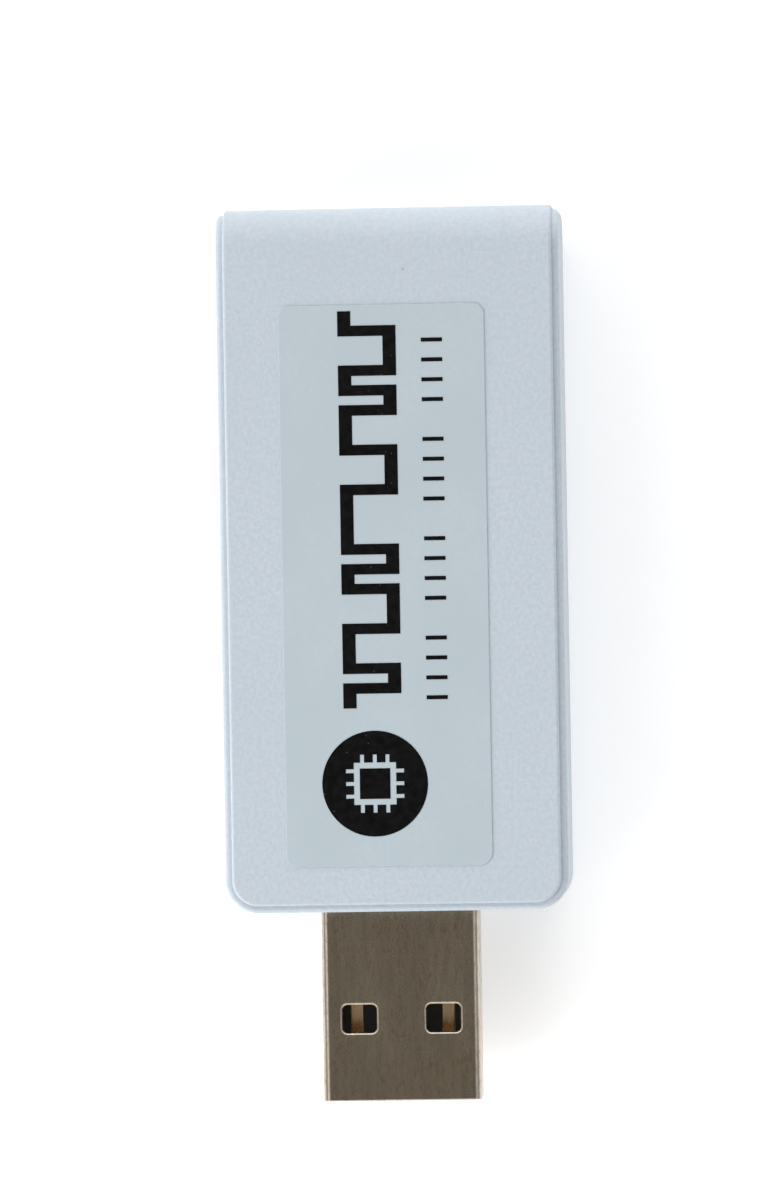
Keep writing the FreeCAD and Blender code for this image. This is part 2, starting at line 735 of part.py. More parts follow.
def build_insulator():
    """The black moulding: a tongue along the plug's underside, and a block that closes the shield."""
    body = new_body("plug_insulator")
    half = size.plug_width / 2 - size.plug_sheet - size.tongue_room
    low, high = plug_low_z + size.plug_sheet, plug_high_z - size.plug_sheet - size.tongue_room
    tongue_z = plug_low_z + size.tongue_top
    rear_y = tip_y + size.plug_length - size.plug_sheet
    side_view = Profile(body, "side_view", "YZ")
    block_y = tip_y + size.void_depth
    tongue_y = tip_y + size.tongue_setback
    side_view.polygon(
        (
            (tongue_y, low), (rear_y, low), (rear_y, high),
            (block_y, high), (block_y, tongue_z), (tongue_y, tongue_z),
        )
    )
    pad(body, "side_view", side_view, half * 2, symmetric=True)
    corner = size.plug_corner - size.plug_sheet + size.tongue_room
    for side in (-1, 1):
        ends = (half * side, tongue_y, low), (half * side, rear_y, low)
        dress(body, "Fillet", f"lower_corner_{side}", corner, *ends)
        ends = (half * side, block_y, high), (half * side, rear_y, high)
        dress(body, "Fillet", f"upper_corner_{side}", corner, *ends)
    nose = (-half, tongue_y, tongue_z), (half, tongue_y, tongue_z)
    dress(body, "Chamfer", "nose", size.window_roll, *nose)
    studs = window_outlines(Profile(body, "window_studs", "XY", low), grow=-size.window_roll)
    pad(body, "window_studs", studs, size.plug_sheet * 0.6, against=True)
    contact_top = tongue_z + size.contact_proud
    for label, across, setback in CONTACTS:
        bed = Profile(body, f"bed_{label}", "YZ", across)
        bed.rectangle(tip_y + setback, rear_y + 1.0, contact_top - size.contact_sheet, contact_top)
        pocket(body, f"bed_{label}", bed, size.contact_width, symmetric=True)


def build_contacts():
    """Four strips that lie in the tongue, run through the block and stand on the board."""
    tongue_z = plug_low_z + size.tongue_top
    high = tongue_z + size.contact_proud
    low = high - size.contact_sheet
    sheet = size.contact_sheet
    knee_y = tip_y + size.plug_length + sheet * 2
    foot_y = knee_y + size.tail_length
    for label, across, setback in CONTACTS:
        body = new_body(label)
        start = tip_y + setback
        strip = Profile(body, "strip", "YZ", across)
        strip.polygon(
            (
                (start, low), (start, high), (knee_y, high), (knee_y, board_top_z + sheet),
                (foot_y, board_top_z + sheet), (foot_y, board_top_z), (knee_y - sheet, board_top_z),
                (knee_y - sheet, low),
            )
        )
        pad(body, "strip", strip, size.contact_width, symmetric=True)
        half = size.contact_width / 2
        nose = (across - half, start, high), (across + half, start, high)
        dress(body, "Chamfer", "nose", size.contact_proud, *nose)


# --- board and what stands on it -----------------------------------------------------------------------


def socket_places():
    """Where the target socket's contacts stand, along X."""
    return [size.socket_pitch * (way - (SOCKET_WAYS - 1) / 2) for way in range(SOCKET_WAYS)]


def build_board():
    """The circuit board: outline, peg holes, leg slots, socket holes and a field of vias."""
    body = new_body("circuit_board")
    half = size.board_width / 2
    outline = Profile(body, "outline", "XY", board_low_z)
    outline.rounded(-half, half, board_front_y, board_back_y, size.board_corner)
    pad(body, "outline", outline, size.board_thickness)
    holes = Profile(body, "holes", "XY", board_top_z)
    for post_y in POST_ROWS:
        for side in (-1, 1):
            holes.circle(size.post_across * side, post_y, size.peg_radius + size.peg_room)
    for across in socket_places():
        holes.circle(across, socket_back_y - size.socket_tail, size.socket_pin_hole)
    leg_y = cavity_front_y + size.leg_start
    room = size.peg_room * 2
    for side in (-1, 1):
        middle = (size.plug_width - size.plug_sheet) / 2 * side
        half_slot = size.plug_sheet / 2 + room
        ends = leg_y - room, leg_y + size.leg_width + room
        holes.rounded(middle - half_slot, middle + half_slot, *ends, room)
    pocket(body, "holes", holes, size.board_thickness)
    vias = Profile(body, "vias", "XY", board_top_z)
    for across, along in VIAS:
        vias.circle(across, along, size.via_radius)
    pocket(body, "vias", vias, size.board_thickness)


def build_package(label, x, y, length, width, height, stand_off):
    """A moulded chip package: a block with bevelled edges and a pin-one dimple in its top."""
    body = new_body(f"{label}_body")
    block = Profile(body, "block", "XY", stand_off)
    block.rectangle(-length / 2, length / 2, -width / 2, width / 2)
    pad(body, "block", block, height)
    top = height + stand_off
    corners = (-length / 2, -width / 2, top), (length / 2, width / 2, top)
    dress(body, "Chamfer", "bevel", size.chip_bevel, *corners)
    short_side = min(length, width)
    inset = short_side * DIMPLE_INSET
    dimple = Profile(body, "dimple", "XY", top)
    dimple.circle(inset - length / 2, width / 2 - inset, short_side * DIMPLE_RADIUS)
    pocket(body, "dimple", dimple, size.dimple_depth)
    set_place(body, x, y, board_top_z)


def gull_wing(body, reach, along, width):
    """One bent lead, from the package's side at reach down a slope to a foot on the board."""
    sheet, shoulder = size.lead_sheet, size.lead_height
    bend_top = reach + size.lead_shoulder
    bend_low = bend_top + size.lead_slope
    toe = bend_low + size.lead_foot
    under = sheet * 0.8
    lead = Profile(body, "lead", "XZ", -along)
    lead.polygon(
        (
            (reach, shoulder), (reach, shoulder + sheet), (bend_top, shoulder + sheet),
            (bend_low, sheet), (toe, sheet), (toe, 0.0),
            (bend_low - under, 0.0), (bend_top - under, shoulder),
        )
    )
    pad(body, "lead", lead, width, symmetric=True)


def build_leads(label, x, y, package_width, pitch, count, width, sides):
    """Leads round a package: half a row, turned about the middle to each side, then mirrored.

    An odd row starts with a lead in its middle, an even one half a pitch away from it.
    """
    body = new_body(f"{label}_leads", in_pieces=True)
    gull_wing(body, package_width / 2, 0.0 if count % 2 else pitch / 2, width)
    row_pattern(body, "half_row", "Y", pitch, (count + 1) // 2)
    turn_pattern(body, "sides", sides)
    mirrored = body.newObject("PartDesign::Mirrored", "other_half")
    mirrored.TransformMode = "Whole shape"
    mirrored.MirrorPlane = (origin_feature(body, "XZ_Plane"), [""])
    body.Tip = mirrored
    doc.recompute()
    if len(body.Shape.Solids) != count * sides:
        raise RuntimeError(f"{label} has {len(body.Shape.Solids)} leads and not {count * sides}")
    set_place(body, x, y, board_top_z)


VIAS = ((-9.6, -3.0), (9.8, 1.6), (-5.4, 10.6), (5.2, 10.9), (-9.8, 18.6), (9.9, 18.9), (0.7, 22.3))
CHIPS = (
    # label, x, y, body across, body along, height, stand-off, lead pitch, leads a side, lead width, sides
    ("microcontroller", 0.0, 5.0, 7.0, 7.0, 1.4, 0.1, 0.8, 8, 0.34, 4),
    ("level_shifter", 0.0, 15.6, 4.4, 5.0, 1.0, 0.1, 0.65, 7, 0.24, 2),
    ("memory_chip", -7.3, 13.4, 3.9, 4.9, 1.4, 0.12, 1.27, 4, 0.42, 2),
    ("regulator", 6.6, -6.6, 1.7, 2.9, 1.1, 0.1, 0.95, 3, 0.4, 2),
    ("surge_guard", 0.0, -9.0, 1.6, 2.9, 1.1, 0.1, 0.95, 3, 0.4, 2),
)


def build_chips():
    """Each chip's package and its leads."""
    for label, x, y, length, width, height, stand_off, pitch, count, lead_width, sides in CHIPS:
        build_package(label, x, y, length, width, height, stand_off)
        build_leads(label, x, y, length, pitch, count, lead_width, sides)


def build_crystal():
    """A low metal can on a flanged base."""
    half, radius = size.crystal_length / 2, size.crystal_width / 2
    brim, thick = size.crystal_brim, size.crystal_base
    end_radius = size.crystal_corner
    base = new_body("crystal_base")
    flange = Profile(base, "flange", "XY")
    flange.rounded(-radius - brim, radius + brim, -half - brim, half + brim, end_radius + brim)
    pad(base, "flange", flange, thick)
    can = new_body("crystal_can")
    wall = Profile(can, "wall", "XY", thick)
    wall.rounded(-radius, radius, -half, half, end_radius)
    pad(can, "wall", wall, size.crystal_height - thick)
    top = size.crystal_height
    dress(can, "Fillet", "crown", size.crystal_crown, (-radius, -half, top), (radius, half, top))
    for body in (base, can):
        set_place(body, size.crystal_across, size.crystal_along, board_top_z)


def two_terminal_parts(label, places, length, width, height, terminal):
    """Block parts with a metal cap on each end: one node of bodies and one of caps.

    Places are (x, y, turned); a turned part lies along Y.
    """
    bodies, caps = [], []
    for x, y, turned in places:
        middle = length - terminal * 2
        block = (width, middle) if turned else (middle, width)
        cap = (width, terminal) if turned else (terminal, width)
        bodies.append(new_box("block", *block, height, x, y, board_top_z))
        for shift in ((terminal - length) / 2, (length - terminal) / 2):
            cap_x, cap_y = (x, y + shift) if turned else (x + shift, y)
            caps.append(new_box("cap", *cap, height, cap_x, cap_y, board_top_z))
    finished.append(gather(label, bodies))
    finished.append(gather(f"{label}_caps", caps))


PASSIVES = (
    # label, length, width, height, cap, places of (x, y, turned)
    ("ceramic_capacitors", 2.0, 1.25, 0.9, 0.4, (
        (-2.0, -1.9, False), (1.4, -1.9, False), (9.6, 5.2, True),
        (-9.6, 6.4, True), (-9.2, 17.3, False), (4.9, 18.4, True),
    )),
    ("chip_resistors", 1.6, 0.8, 0.45, 0.3, (
        (-3.6, -10.6, True), (3.6, -10.6, True), (7.0, 9.6, False), (7.0, 13.0, False),
        (-3.3, 20.6, True), (-1.1, 20.6, True), (1.1, 20.6, True), (3.3, 20.6, True),
    )),
    ("resettable_fuse", 3.2, 1.6, 0.7, 0.45, ((-8.0, -11.2, False),)),
    ("ferrite_bead", 2.0, 1.25, 0.9, 0.4, ((9.4, -10.6, True),)),
    ("bulk_capacitor", 3.2, 1.6, 1.6, 0.4, ((7.2, -1.9, True),)),
    ("power_lamp", 1.6, 0.8, 0.7, 0.3, ((9.6, 9.6, False),)),
    ("busy_lamp", 1.6, 0.8, 0.7, 0.3, ((9.6, 13.0, False),)),
)


def build_passives():
    """Capacitors, resistors, fuse, bead and lamps."""
    for label, length, width, height, terminal, places in PASSIVES:
        two_terminal_parts(label, places, length, width, height, terminal)


def build_socket():
    """The single row target socket, lying on the board with its square holes facing out."""
    body = new_body("target_socket_body")
    low, high = board_top_z, board_top_z + size.socket_height
    middle_z = (low + high) / 2
    half, funnel = size.socket_hole / 2, (size.socket_mouth - size.socket_hole) / 2
    block = Profile(body, "block", "XZ", -socket_face_y)
    block.rectangle(-socket_half, socket_half, low, high)
    pad(body, "block", block, size.socket_depth)
    for way, across in enumerate(socket_places()):
        hole = Profile(body, f"way_{way}", "XZ", -socket_face_y)
        hole.rectangle(across - half, across + half, middle_z - half, middle_z + half)
        pocket(body, f"way_{way}", hole, size.socket_depth, along=True)
        mouth_low = (across - half, socket_face_y, middle_z - half)
        mouth_high = (across + half, socket_face_y, middle_z + half)
        dress(body, "Chamfer", f"funnel_{way}", funnel, mouth_low, mouth_high)


def build_socket_contacts():
    """Six pins: each lies along the floor of its hole, then turns down through the board."""
    body = new_body("target_socket_contacts", in_pieces=True)
    under = board_top_z + (size.socket_height - size.socket_hole) / 2
    thick = size.socket_pin
    inner_y = socket_face_y - size.socket_mouth
    tail_y = socket_back_y - size.socket_tail - thick / 2
    tail_z = board_low_z - size.socket_tail_reach
    strip = Profile(body, "strip", "YZ", -size.socket_pitch * (SOCKET_WAYS - 1) / 2)
    strip.polygon(
        (
            (inner_y, under), (inner_y, under + thick), (tail_y, under + thick),
            (tail_y, tail_z), (tail_y + thick, tail_z), (tail_y + thick, under),
        )
    )
    pad(body, "strip", strip, size.socket_pin_width, symmetric=True)
    row_pattern(body, "ways", "X", size.socket_pitch, SOCKET_WAYS)


def write_parts():
    """Stops on any failed object or bad shape, then writes one STEP file for each sub-part."""
    doc.recompute()
    failed = [thing.Name for thing in doc.Objects if {"Invalid", "Error"} & set(thing.State)]
    if failed:
        raise RuntimeError(f"these objects failed: {failed}")
    os.makedirs("parts", exist_ok=True)
    for thing in finished:
        shape = thing.Shape
        if shape.isNull() or not shape.isValid() or not shape.Solids:
            raise RuntimeError(f"{thing.Label} has no valid solid")
        shape.exportStep(f"parts/{thing.Label}.step")
        print(f"{thing.Label}: {len(shape.Solids)} solids, {shape.Volume:.3f} mm3")


def main():
    """Builds every sub-part and writes it."""
    build_upper_shell()
    build_lower_shell()
    build_label()
    build_print()
    build_shield()
    build_insulator()
    build_contacts()
    build_board()
    build_chips()
    build_crystal()
    build_passives()
    build_socket()
    build_socket_contacts()
    write_parts()


main()
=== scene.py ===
import json
import logging
import math
from dataclasses import dataclass, field
from enum import Enum
from typing import Any, Iterable, Sequence

import bmesh
import bpy
import numpy as np
from mathutils import Matrix, Vector


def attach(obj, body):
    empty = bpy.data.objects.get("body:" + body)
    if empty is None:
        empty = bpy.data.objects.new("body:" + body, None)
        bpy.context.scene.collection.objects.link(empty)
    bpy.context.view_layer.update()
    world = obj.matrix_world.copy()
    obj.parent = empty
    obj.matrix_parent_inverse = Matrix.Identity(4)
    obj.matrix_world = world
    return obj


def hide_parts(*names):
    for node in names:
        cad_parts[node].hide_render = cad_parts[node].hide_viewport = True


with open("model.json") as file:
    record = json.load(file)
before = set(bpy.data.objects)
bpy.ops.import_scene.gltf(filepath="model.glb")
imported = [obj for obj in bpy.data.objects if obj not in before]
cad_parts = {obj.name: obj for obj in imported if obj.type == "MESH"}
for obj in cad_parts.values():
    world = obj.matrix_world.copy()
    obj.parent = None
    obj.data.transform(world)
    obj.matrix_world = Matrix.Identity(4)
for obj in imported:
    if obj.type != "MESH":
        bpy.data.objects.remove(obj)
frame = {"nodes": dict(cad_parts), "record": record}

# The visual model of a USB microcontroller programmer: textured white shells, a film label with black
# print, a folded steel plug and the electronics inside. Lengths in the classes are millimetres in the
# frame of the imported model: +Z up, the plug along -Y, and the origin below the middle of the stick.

LOG = logging.getLogger("usb_programmer")
METRE = 1000.0
ROOT_BODY = "root"
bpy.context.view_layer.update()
QUARTER_TURN = math.pi / 2
WELD = 1e-5  # points nearer than this are one
OVERSHOOT = 1.0  # how far a cutter starts outside the face that it opens
SIDE_SHARES = (0.02, 0.25, 0.5, 0.75, 0.98)  # where an outline's straight side has points

Colour = tuple[float, float, float]
Number = Any


# --- shader arithmetic -----------------------------------------------------------------------------


class Signal:
    """A shader value that joins in Python expressions: each operator adds one Math node."""

    def __init__(self, tree: "Tree", socket: bpy.types.NodeSocket) -> None:
        """Wraps one output socket of a node in the tree."""
        self.tree = tree
        self.socket = socket

    def __add__(self, other: Number) -> "Signal":
        """This value plus another."""
        return self.tree.math("ADD", self, other)

    def __radd__(self, other: Number) -> "Signal":
        """Another value plus this one."""
        return self.tree.math("ADD", other, self)

    def __rsub__(self, other: Number) -> "Signal":
        """Another value less this one."""
        return self.tree.math("SUBTRACT", other, self)

    def __mul__(self, other: Number) -> "Signal":
        """This value times another."""
        return self.tree.math("MULTIPLY", self, other)

    def __rmul__(self, other: Number) -> "Signal":
        """Another value times this one."""
        return self.tree.math("MULTIPLY", other, self)

    def above(self, edge: float, spread: float) -> "Signal":
        """A smooth step from 0 to 1 as this value passes the edge, over the spread."""
        node = self.tree.add(
            "ShaderNodeMapRange",
            {"interpolation_type": "SMOOTHSTEP"},
            {"Value": self, "From Min": edge - spread / 2, "From Max": edge + spread / 2},
        )
        return self.tree.signal(node, "Result")


class Tree:
    """The nodes of one material or world, added a call at a time."""

    def __init__(self, owner: bpy.types.ID) -> None:
        """Starts with the owner's node tree empty."""
        owner.use_nodes = True
        self.nodes = owner.node_tree.nodes
        self.links = owner.node_tree.links
        self.nodes.clear()

    def add(self, kind: str, settings: dict[str, Any], inputs: dict[Any, Any]) -> bpy.types.Node:
        """Adds a node: its settings first, then the value or link of each named input.

        Args:
            kind: the node's type.
            settings: attributes of the node.
            inputs: socket name or number, to a value, a Signal or an output socket.

        Returns:
            The node.
        """
        node = self.nodes.new(kind)
        for name, value in settings.items():
            setattr(node, name, value)
        for name, value in inputs.items():
            target = node.inputs[name]
            if isinstance(value, Signal):
                self.links.new(value.socket, target)
            elif isinstance(value, bpy.types.NodeSocket):
                self.links.new(value, target)
            else:
                target.default_value = value
        return node

    def signal(self, node: bpy.types.Node, output: Any) -> Signal:
        """One output of a node as a Signal."""
        return Signal(self, node.outputs[output])

    def math(self, operation: str, *values: Number) -> Signal:
        """A Math node on one to three values."""
        node = self.add("ShaderNodeMath", {"operation": operation}, dict(enumerate(values)))
        return self.signal(node, 0)

    def place(self, scale: Sequence[float], turn: Sequence[float] = (0.0, 0.0, 0.0)) -> bpy.types.NodeSocket:
        """Object coordinates in millimetres, turned and then stretched.

        Args:
            scale: factor on each axis, after metres have become millimetres.
            turn: rotation in radians.

        Returns:
            The vector output.
        """
        coordinates = self.add("ShaderNodeTexCoord", {}, {})
        factors = [METRE * factor for factor in scale]
        settings = {"Vector": coordinates.outputs["Object"], "Scale": factors, "Rotation": turn}
        return self.add("ShaderNodeMapping", {"vector_type": "POINT"}, settings).outputs["Vector"]

    def axis(self, name: str) -> Signal:
        """One object coordinate in millimetres: X, Y or Z."""
        parts = self.add("ShaderNodeSeparateXYZ", {}, {"Vector": self.place((1.0, 1.0, 1.0))})
        return self.signal(parts, name)

    def noise(self, scale: Sequence[float], detail: float = 2.0, roughness: float = 0.5) -> Signal:
        """Fractal noise from 0 to 1 with its middle near one half; scale is features in a millimetre."""
        inputs = {"Vector": self.place(scale), "Scale": 1.0, "Detail": detail, "Roughness": roughness}
        return self.signal(self.add("ShaderNodeTexNoise", {}, inputs), 0)

    def cells(self, scale: Sequence[float]) -> Signal:
        """Distance to the nearest of scattered points, in cells of about one over the scale."""
        inputs = {"Vector": self.place(scale), "Scale": 1.0}
        return self.signal(self.add("ShaderNodeTexVoronoi", {}, inputs), "Distance")

    def blend(self, share: Number, first: Any, second: Any) -> bpy.types.NodeSocket:
        """A colour that goes from the first to the second as share goes from 0 to 1."""
        node = self.add("ShaderNodeMix", {"data_type": "RGBA"}, {"Factor": share})
        for slot, value in ((6, first), (7, second)):
            if isinstance(value, bpy.types.NodeSocket):
                self.links.new(value, node.inputs[slot])
            else:
                node.inputs[slot].default_value = (*value, 1.0)
        return node.outputs[2]

    def bump(self, height: Signal, depth: float) -> bpy.types.NodeSocket:
        """A normal tilted by a height from 0 to 1 that stands for a depth in millimetres."""
        inputs = {"Height": height, "Distance": depth / METRE, "Strength": 1.0}
        return self.add("ShaderNodeBump", {}, inputs).outputs["Normal"]


# --- finishes --------------------------------------------------------------------------------------


@dataclass(frozen=True)
class Finish:
    """A material with two mottled colours, uneven gloss and a fine relief.

    Colour goes from base to shade with a slow noise and a fine one. Roughness runs between its two
    limits with another noise, and the relief is a bump of the grain noise.
    """

    name: str
    base: Colour
    shade: Colour
    metallic: float = 0.0
    smooth: float = 0.35
    rough: float = 0.55
    patch: tuple[float, float, float] = (0.35, 0.35, 0.35)
    grain: tuple[float, float, float] = (6.0, 6.0, 6.0)
    relief: float = 0.004
    coat: float = 0.0
    specular: float = 0.5

    def material(self) -> bpy.types.Material:
        """Makes the material, or returns the one already made."""
        name = f"finish_{self.name}"
        made = bpy.data.materials.get(name)
        if made is not None:
            return made
        made = bpy.data.materials.new(name)
        tree = Tree(made)
        inputs = {"Metallic": self.metallic, "Specular IOR Level": self.specular, "Coat Weight": self.coat}
        inputs.update(self.surface(tree))
        shader = tree.add("ShaderNodeBsdfPrincipled", {}, inputs)
        tree.add("ShaderNodeOutputMaterial", {}, {"Surface": shader.outputs[0]})
        return made

    def surface(self, tree: Tree) -> dict[str, Any]:
        """The inputs that change over the surface: colour, roughness and normal."""
        slow = tree.noise(self.patch, 3.0)
        fine = tree.noise(self.grain, 3.0, 0.6)
        mottle = slow * 0.6 + fine * 0.4
        colour = tree.blend(mottle.above(0.5, 0.5), self.base, self.shade)
        gloss = self.smooth + (self.rough - self.smooth) * tree.noise(self.patch, 4.0)
        return {"Base Color": colour, "Roughness": gloss, "Normal": tree.bump(fine, self.relief)}


@dataclass(frozen=True)
class WhiteAbs(Finish):
    """Moulded white plastic with a spark-eroded texture, painted shade in its pits, a few faint specks and
    light handling marks.
    """

    tint: Colour = (0.56, 0.57, 0.635)
    speck: Colour = (0.10, 0.11, 0.14)
    speck_share: float = 0.020
    speck_depth: float = 0.25

    def surface(self, tree: Tree) -> dict[str, Any]:
        """Adds pits with painted shade in their low spots, specks and slow patches of wear to the plain
        finish.
        """
        slow = tree.noise((0.09, 0.06, 0.09), 3.0, 0.55)
        pits = tree.noise((3.0, 3.0, 3.0), 3.0, 0.6)
        broad = tree.noise((0.9, 0.9, 0.9), 2.0, 0.5)
        worn = tree.blend(slow.above(0.5, 0.5) * 0.35, self.base, self.shade)
        tinted = tree.blend(broad.above(0.5, 0.3) * 0.4, worn, self.tint)
        # Painted shade: the colour is pulled towards the shade colour where the pit noise, which also makes
        # the bump, is low.
        painted_pit_shade = tree.blend((1.0 - pits).above(0.5, 0.3) * 0.65, tinted, self.shade)
        near = tree.cells((0.16, 0.16, 0.16))
        dots = 1.0 - near.above(self.speck_share, 0.008)
        colour = tree.blend(dots * self.speck_depth, painted_pit_shade, self.speck)
        gloss = self.smooth + (self.rough - self.smooth) * (slow * 0.5 + pits * 0.5)
        height = pits * 0.7 + broad * 0.3
        return {"Base Color": colour, "Roughness": gloss, "Normal": tree.bump(height, self.relief)}


@dataclass(frozen=True)
class BrushedSteel(Finish):
    """Plated sheet drawn along Y: stretched grain, cloudy tarnish and fine scratches."""

    tarnish: Colour = (0.20, 0.15, 0.10)
    bronze: Colour = (0.56, 0.45, 0.34)

    def surface(self, tree: Tree) -> dict[str, Any]:
        """Short grain along the plug, warm clouds and small spots of tarnish."""
        grain = tree.noise((4.4, 1.5, 4.4), 4.0, 0.7)
        streak = tree.noise((2.4, 0.35, 2.4), 3.0, 0.6)
        clouds = tree.noise((0.5, 0.3, 0.5), 3.0, 0.55)
        mottle = (grain * 0.6 + streak * 0.4).above(0.5, 0.28)
        plated = tree.blend(mottle, self.base, self.shade)
        warmed = tree.blend(clouds.above(0.52, 0.3) * 0.45, plated, self.bronze)
        stained = tree.blend((clouds * 0.35 + grain * 0.65).above(0.60, 0.14) * 0.4, warmed, self.tarnish)
        gloss = self.smooth + (self.rough - self.smooth) * (grain * 0.6 + clouds * 0.4)
        return {"Base Color": stained, "Roughness": gloss, "Normal": tree.bump(grain, self.relief)}


@dataclass(frozen=True)
class FilmLabel(Finish):
    """Thin label film: the panel's texture shows through softly, with painted shade in its dips, a slow
    ripple and faint dust.
    """

    dust: Colour = (0.70, 0.74, 0.77)

    def surface(self, tree: Tree) -> dict[str, Any]:
        """Ripple and telegraphed texture in the normal; dust and painted shade in the telegraphed texture's
        dips in the colour.
        """
        telegraph = tree.noise((2.6, 2.6, 2.6), 2.0, 0.5)
        ripple = tree.noise((0.22, 0.14, 0.22), 2.0, 0.4)
        tone = tree.blend(ripple.above(0.5, 0.5), self.base, self.shade)
        # Painted shade: the colour is pulled towards the shade colour where the telegraph noise, which also
        # makes the bump, is low.
        painted_dip_shade = tree.blend((1.0 - telegraph).above(0.5, 0.35) * 0.5, tone, self.shade)
        motes = tree.cells((0.6, 0.6, 0.6))
        dusty = tree.blend((1.0 - motes.above(0.035, 0.02)) * 0.4, painted_dip_shade, self.dust)
        gloss = self.smooth + (self.rough - self.smooth) * (ripple * 0.6 + telegraph * 0.4)
        height = telegraph * 0.35 + ripple * 0.65
        return {"Base Color": dusty, "Roughness": gloss, "Normal": tree.bump(height, self.relief)}


@dataclass(frozen=True)
class PrintedInk(Finish):
    """Black print: dense ink with pinholes and a slightly uneven gloss."""

    pinhole: Colour = (0.20, 0.21, 0.22)

    def surface(self, tree: Tree) -> dict[str, Any]:
        """Pinholes where the ink missed, and a soft mottle of gloss."""
        density = tree.noise((1.8, 1.8, 1.8), 3.0, 0.6)
        holes = 1.0 - tree.cells((1.1, 1.1, 1.1)).above(0.05, 0.03)
        tone = tree.blend(density.above(0.5, 0.5), self.base, self.shade)
        colour = tree.blend(holes * 0.35, tone, self.pinhole)
        gloss = self.smooth + (self.rough - self.smooth) * density
        return {"Base Color": colour, "Roughness": gloss, "Normal": tree.bump(density, self.relief)}


@dataclass(frozen=True)
class BoardMask(Finish):
    """Solder mask with the raised pattern of copper tracks under it."""

    copper: Colour = (0.05, 0.27, 0.13)
    waves: tuple[float, float] = (4.9, 1.3)

    def surface(self, tree: Tree) -> dict[str, Any]:
        """Tracks are bands of two crossing waves, lifted a little and paler."""
        across, along = (tree.axis(name) * wave for name, wave in zip("XY", self.waves))
        weave = tree.math("SINE", across) * tree.math("SINE", along)
        tracks = weave.above(0.35, 0.1)
        tone = tree.blend(tree.noise(self.patch, 3.0), self.base, self.shade)
        colour = tree.blend(tracks * 0.8, tone, self.copper)
        gloss = self.smooth + (self.rough - self.smooth) * tree.noise(self.grain, 2.0)
        return {"Base Color": colour, "Roughness": gloss, "Normal": tree.bump(tracks, self.relief)}


ABS = WhiteAbs(
    "white_abs", (0.535, 0.600, 0.660), (0.455, 0.530, 0.590), smooth=0.38, rough=0.58, relief=0.06,
)
FILM = FilmLabel(
    "label_film", (0.484, 0.552, 0.600), (0.456, 0.529, 0.570), smooth=0.28, rough=0.42, relief=0.010,
)
INK = PrintedInk(
    "label_ink", (0.002, 0.002, 0.0025), (0.006, 0.006, 0.007), smooth=0.24, rough=0.4,
    relief=0.002, specular=0.18,
)
STEEL = BrushedSteel(
    "plug_steel", (0.64, 0.58, 0.485), (0.475, 0.425, 0.35), metallic=1.0, smooth=0.20, rough=0.34,
    relief=0.0015,
)
GOLD = Finish(
    "contact_gold", (0.90, 0.68, 0.44), (0.70, 0.50, 0.31), metallic=1.0, smooth=0.18, rough=0.34,
    patch=(3.0, 0.3, 3.0), grain=(9.0, 0.5, 9.0), relief=0.002,
)
NYLON = Finish(
    "black_nylon", (0.012, 0.012, 0.013), (0.028, 0.028, 0.03), smooth=0.34, rough=0.55, relief=0.004,
)
MASK = BoardMask(
    "board_mask", (0.012, 0.115, 0.05), (0.02, 0.15, 0.07), smooth=0.25, rough=0.4, relief=0.03, coat=0.3,
)
EPOXY = Finish(
    "chip_epoxy", (0.018, 0.018, 0.02), (0.04, 0.04, 0.044), smooth=0.5, rough=0.7, grain=(12.0,) * 3,
)
TIN = Finish(
    "tinned_lead", (0.74, 0.74, 0.72), (0.56, 0.56, 0.55), metallic=1.0, smooth=0.25, rough=0.5,
    patch=(1.2,) * 3, relief=0.003,
)
CAN = Finish(
    "crystal_can", (0.72, 0.70, 0.66), (0.58, 0.55, 0.50), metallic=1.0, smooth=0.2, rough=0.38,
    patch=(0.3, 0.1, 0.3), grain=(10.0, 0.9, 10.0), relief=0.002,
)
CERAMIC = Finish(
    "capacitor_ceramic", (0.46, 0.31, 0.18), (0.36, 0.24, 0.14), smooth=0.45, rough=0.6, grain=(9.0,) * 3,
)
RESISTOR = Finish(
    "resistor_glaze", (0.012, 0.012, 0.014), (0.05, 0.05, 0.055), smooth=0.2, rough=0.4, coat=0.3,
)
FUSE = Finish("fuse_laminate", (0.03, 0.14, 0.06), (0.06, 0.22, 0.10), smooth=0.4, rough=0.6)
FERRITE = Finish(
    "ferrite", (0.05, 0.05, 0.055), (0.10, 0.10, 0.105), smooth=0.55, rough=0.75, grain=(14.0,) * 3,
)
TANTALUM = Finish("tantalum_case", (0.72, 0.45, 0.07), (0.62, 0.36, 0.05), smooth=0.4, rough=0.55)
GREEN_RESIN = Finish("lamp_green", (0.40, 0.72, 0.38), (0.55, 0.82, 0.50), smooth=0.12, rough=0.3, coat=0.5)
AMBER_RESIN = Finish("lamp_amber", (0.85, 0.52, 0.14), (0.92, 0.66, 0.28), smooth=0.12, rough=0.3, coat=0.5)


# --- meshes ----------------------------------------------------------------------------------------


class Cut(Enum):
    """How one solid changes another."""

    REMOVE = "DIFFERENCE"
    ADD = "UNION"


class Axis(Enum):
    """The axis that a prism stands along, with the numbers of that coordinate and of its outline's second."""

    Y = (1, 2)
    Z = (2, 1)


class Side(Enum):
    """Which half of the case a shell is."""

    LID = "upper_shell"
    BASE = "lower_shell"


def grid_faces(rows: int, columns: int, closed: bool = False, start: int = 0) -> np.ndarray:
    """Quads of a grid whose point (i, j) has number start + i * columns + j.

    Args:
        rows: points along the first direction.
        columns: points along the second.
        closed: whether the last column joins the first.
        start: number of the first point.

    Returns:
        An (n, 4) array of point numbers.
    """
    across = columns if closed else columns - 1
    i, j = np.meshgrid(np.arange(rows - 1), np.arange(across), indexing="ij")
    after = (j + 1) % columns
    row, next_row = i * columns, (i + 1) * columns
    quads = np.stack([row + j, row + after, next_row + after, next_row + j], -1)
    return quads.reshape(-1, 4) + start


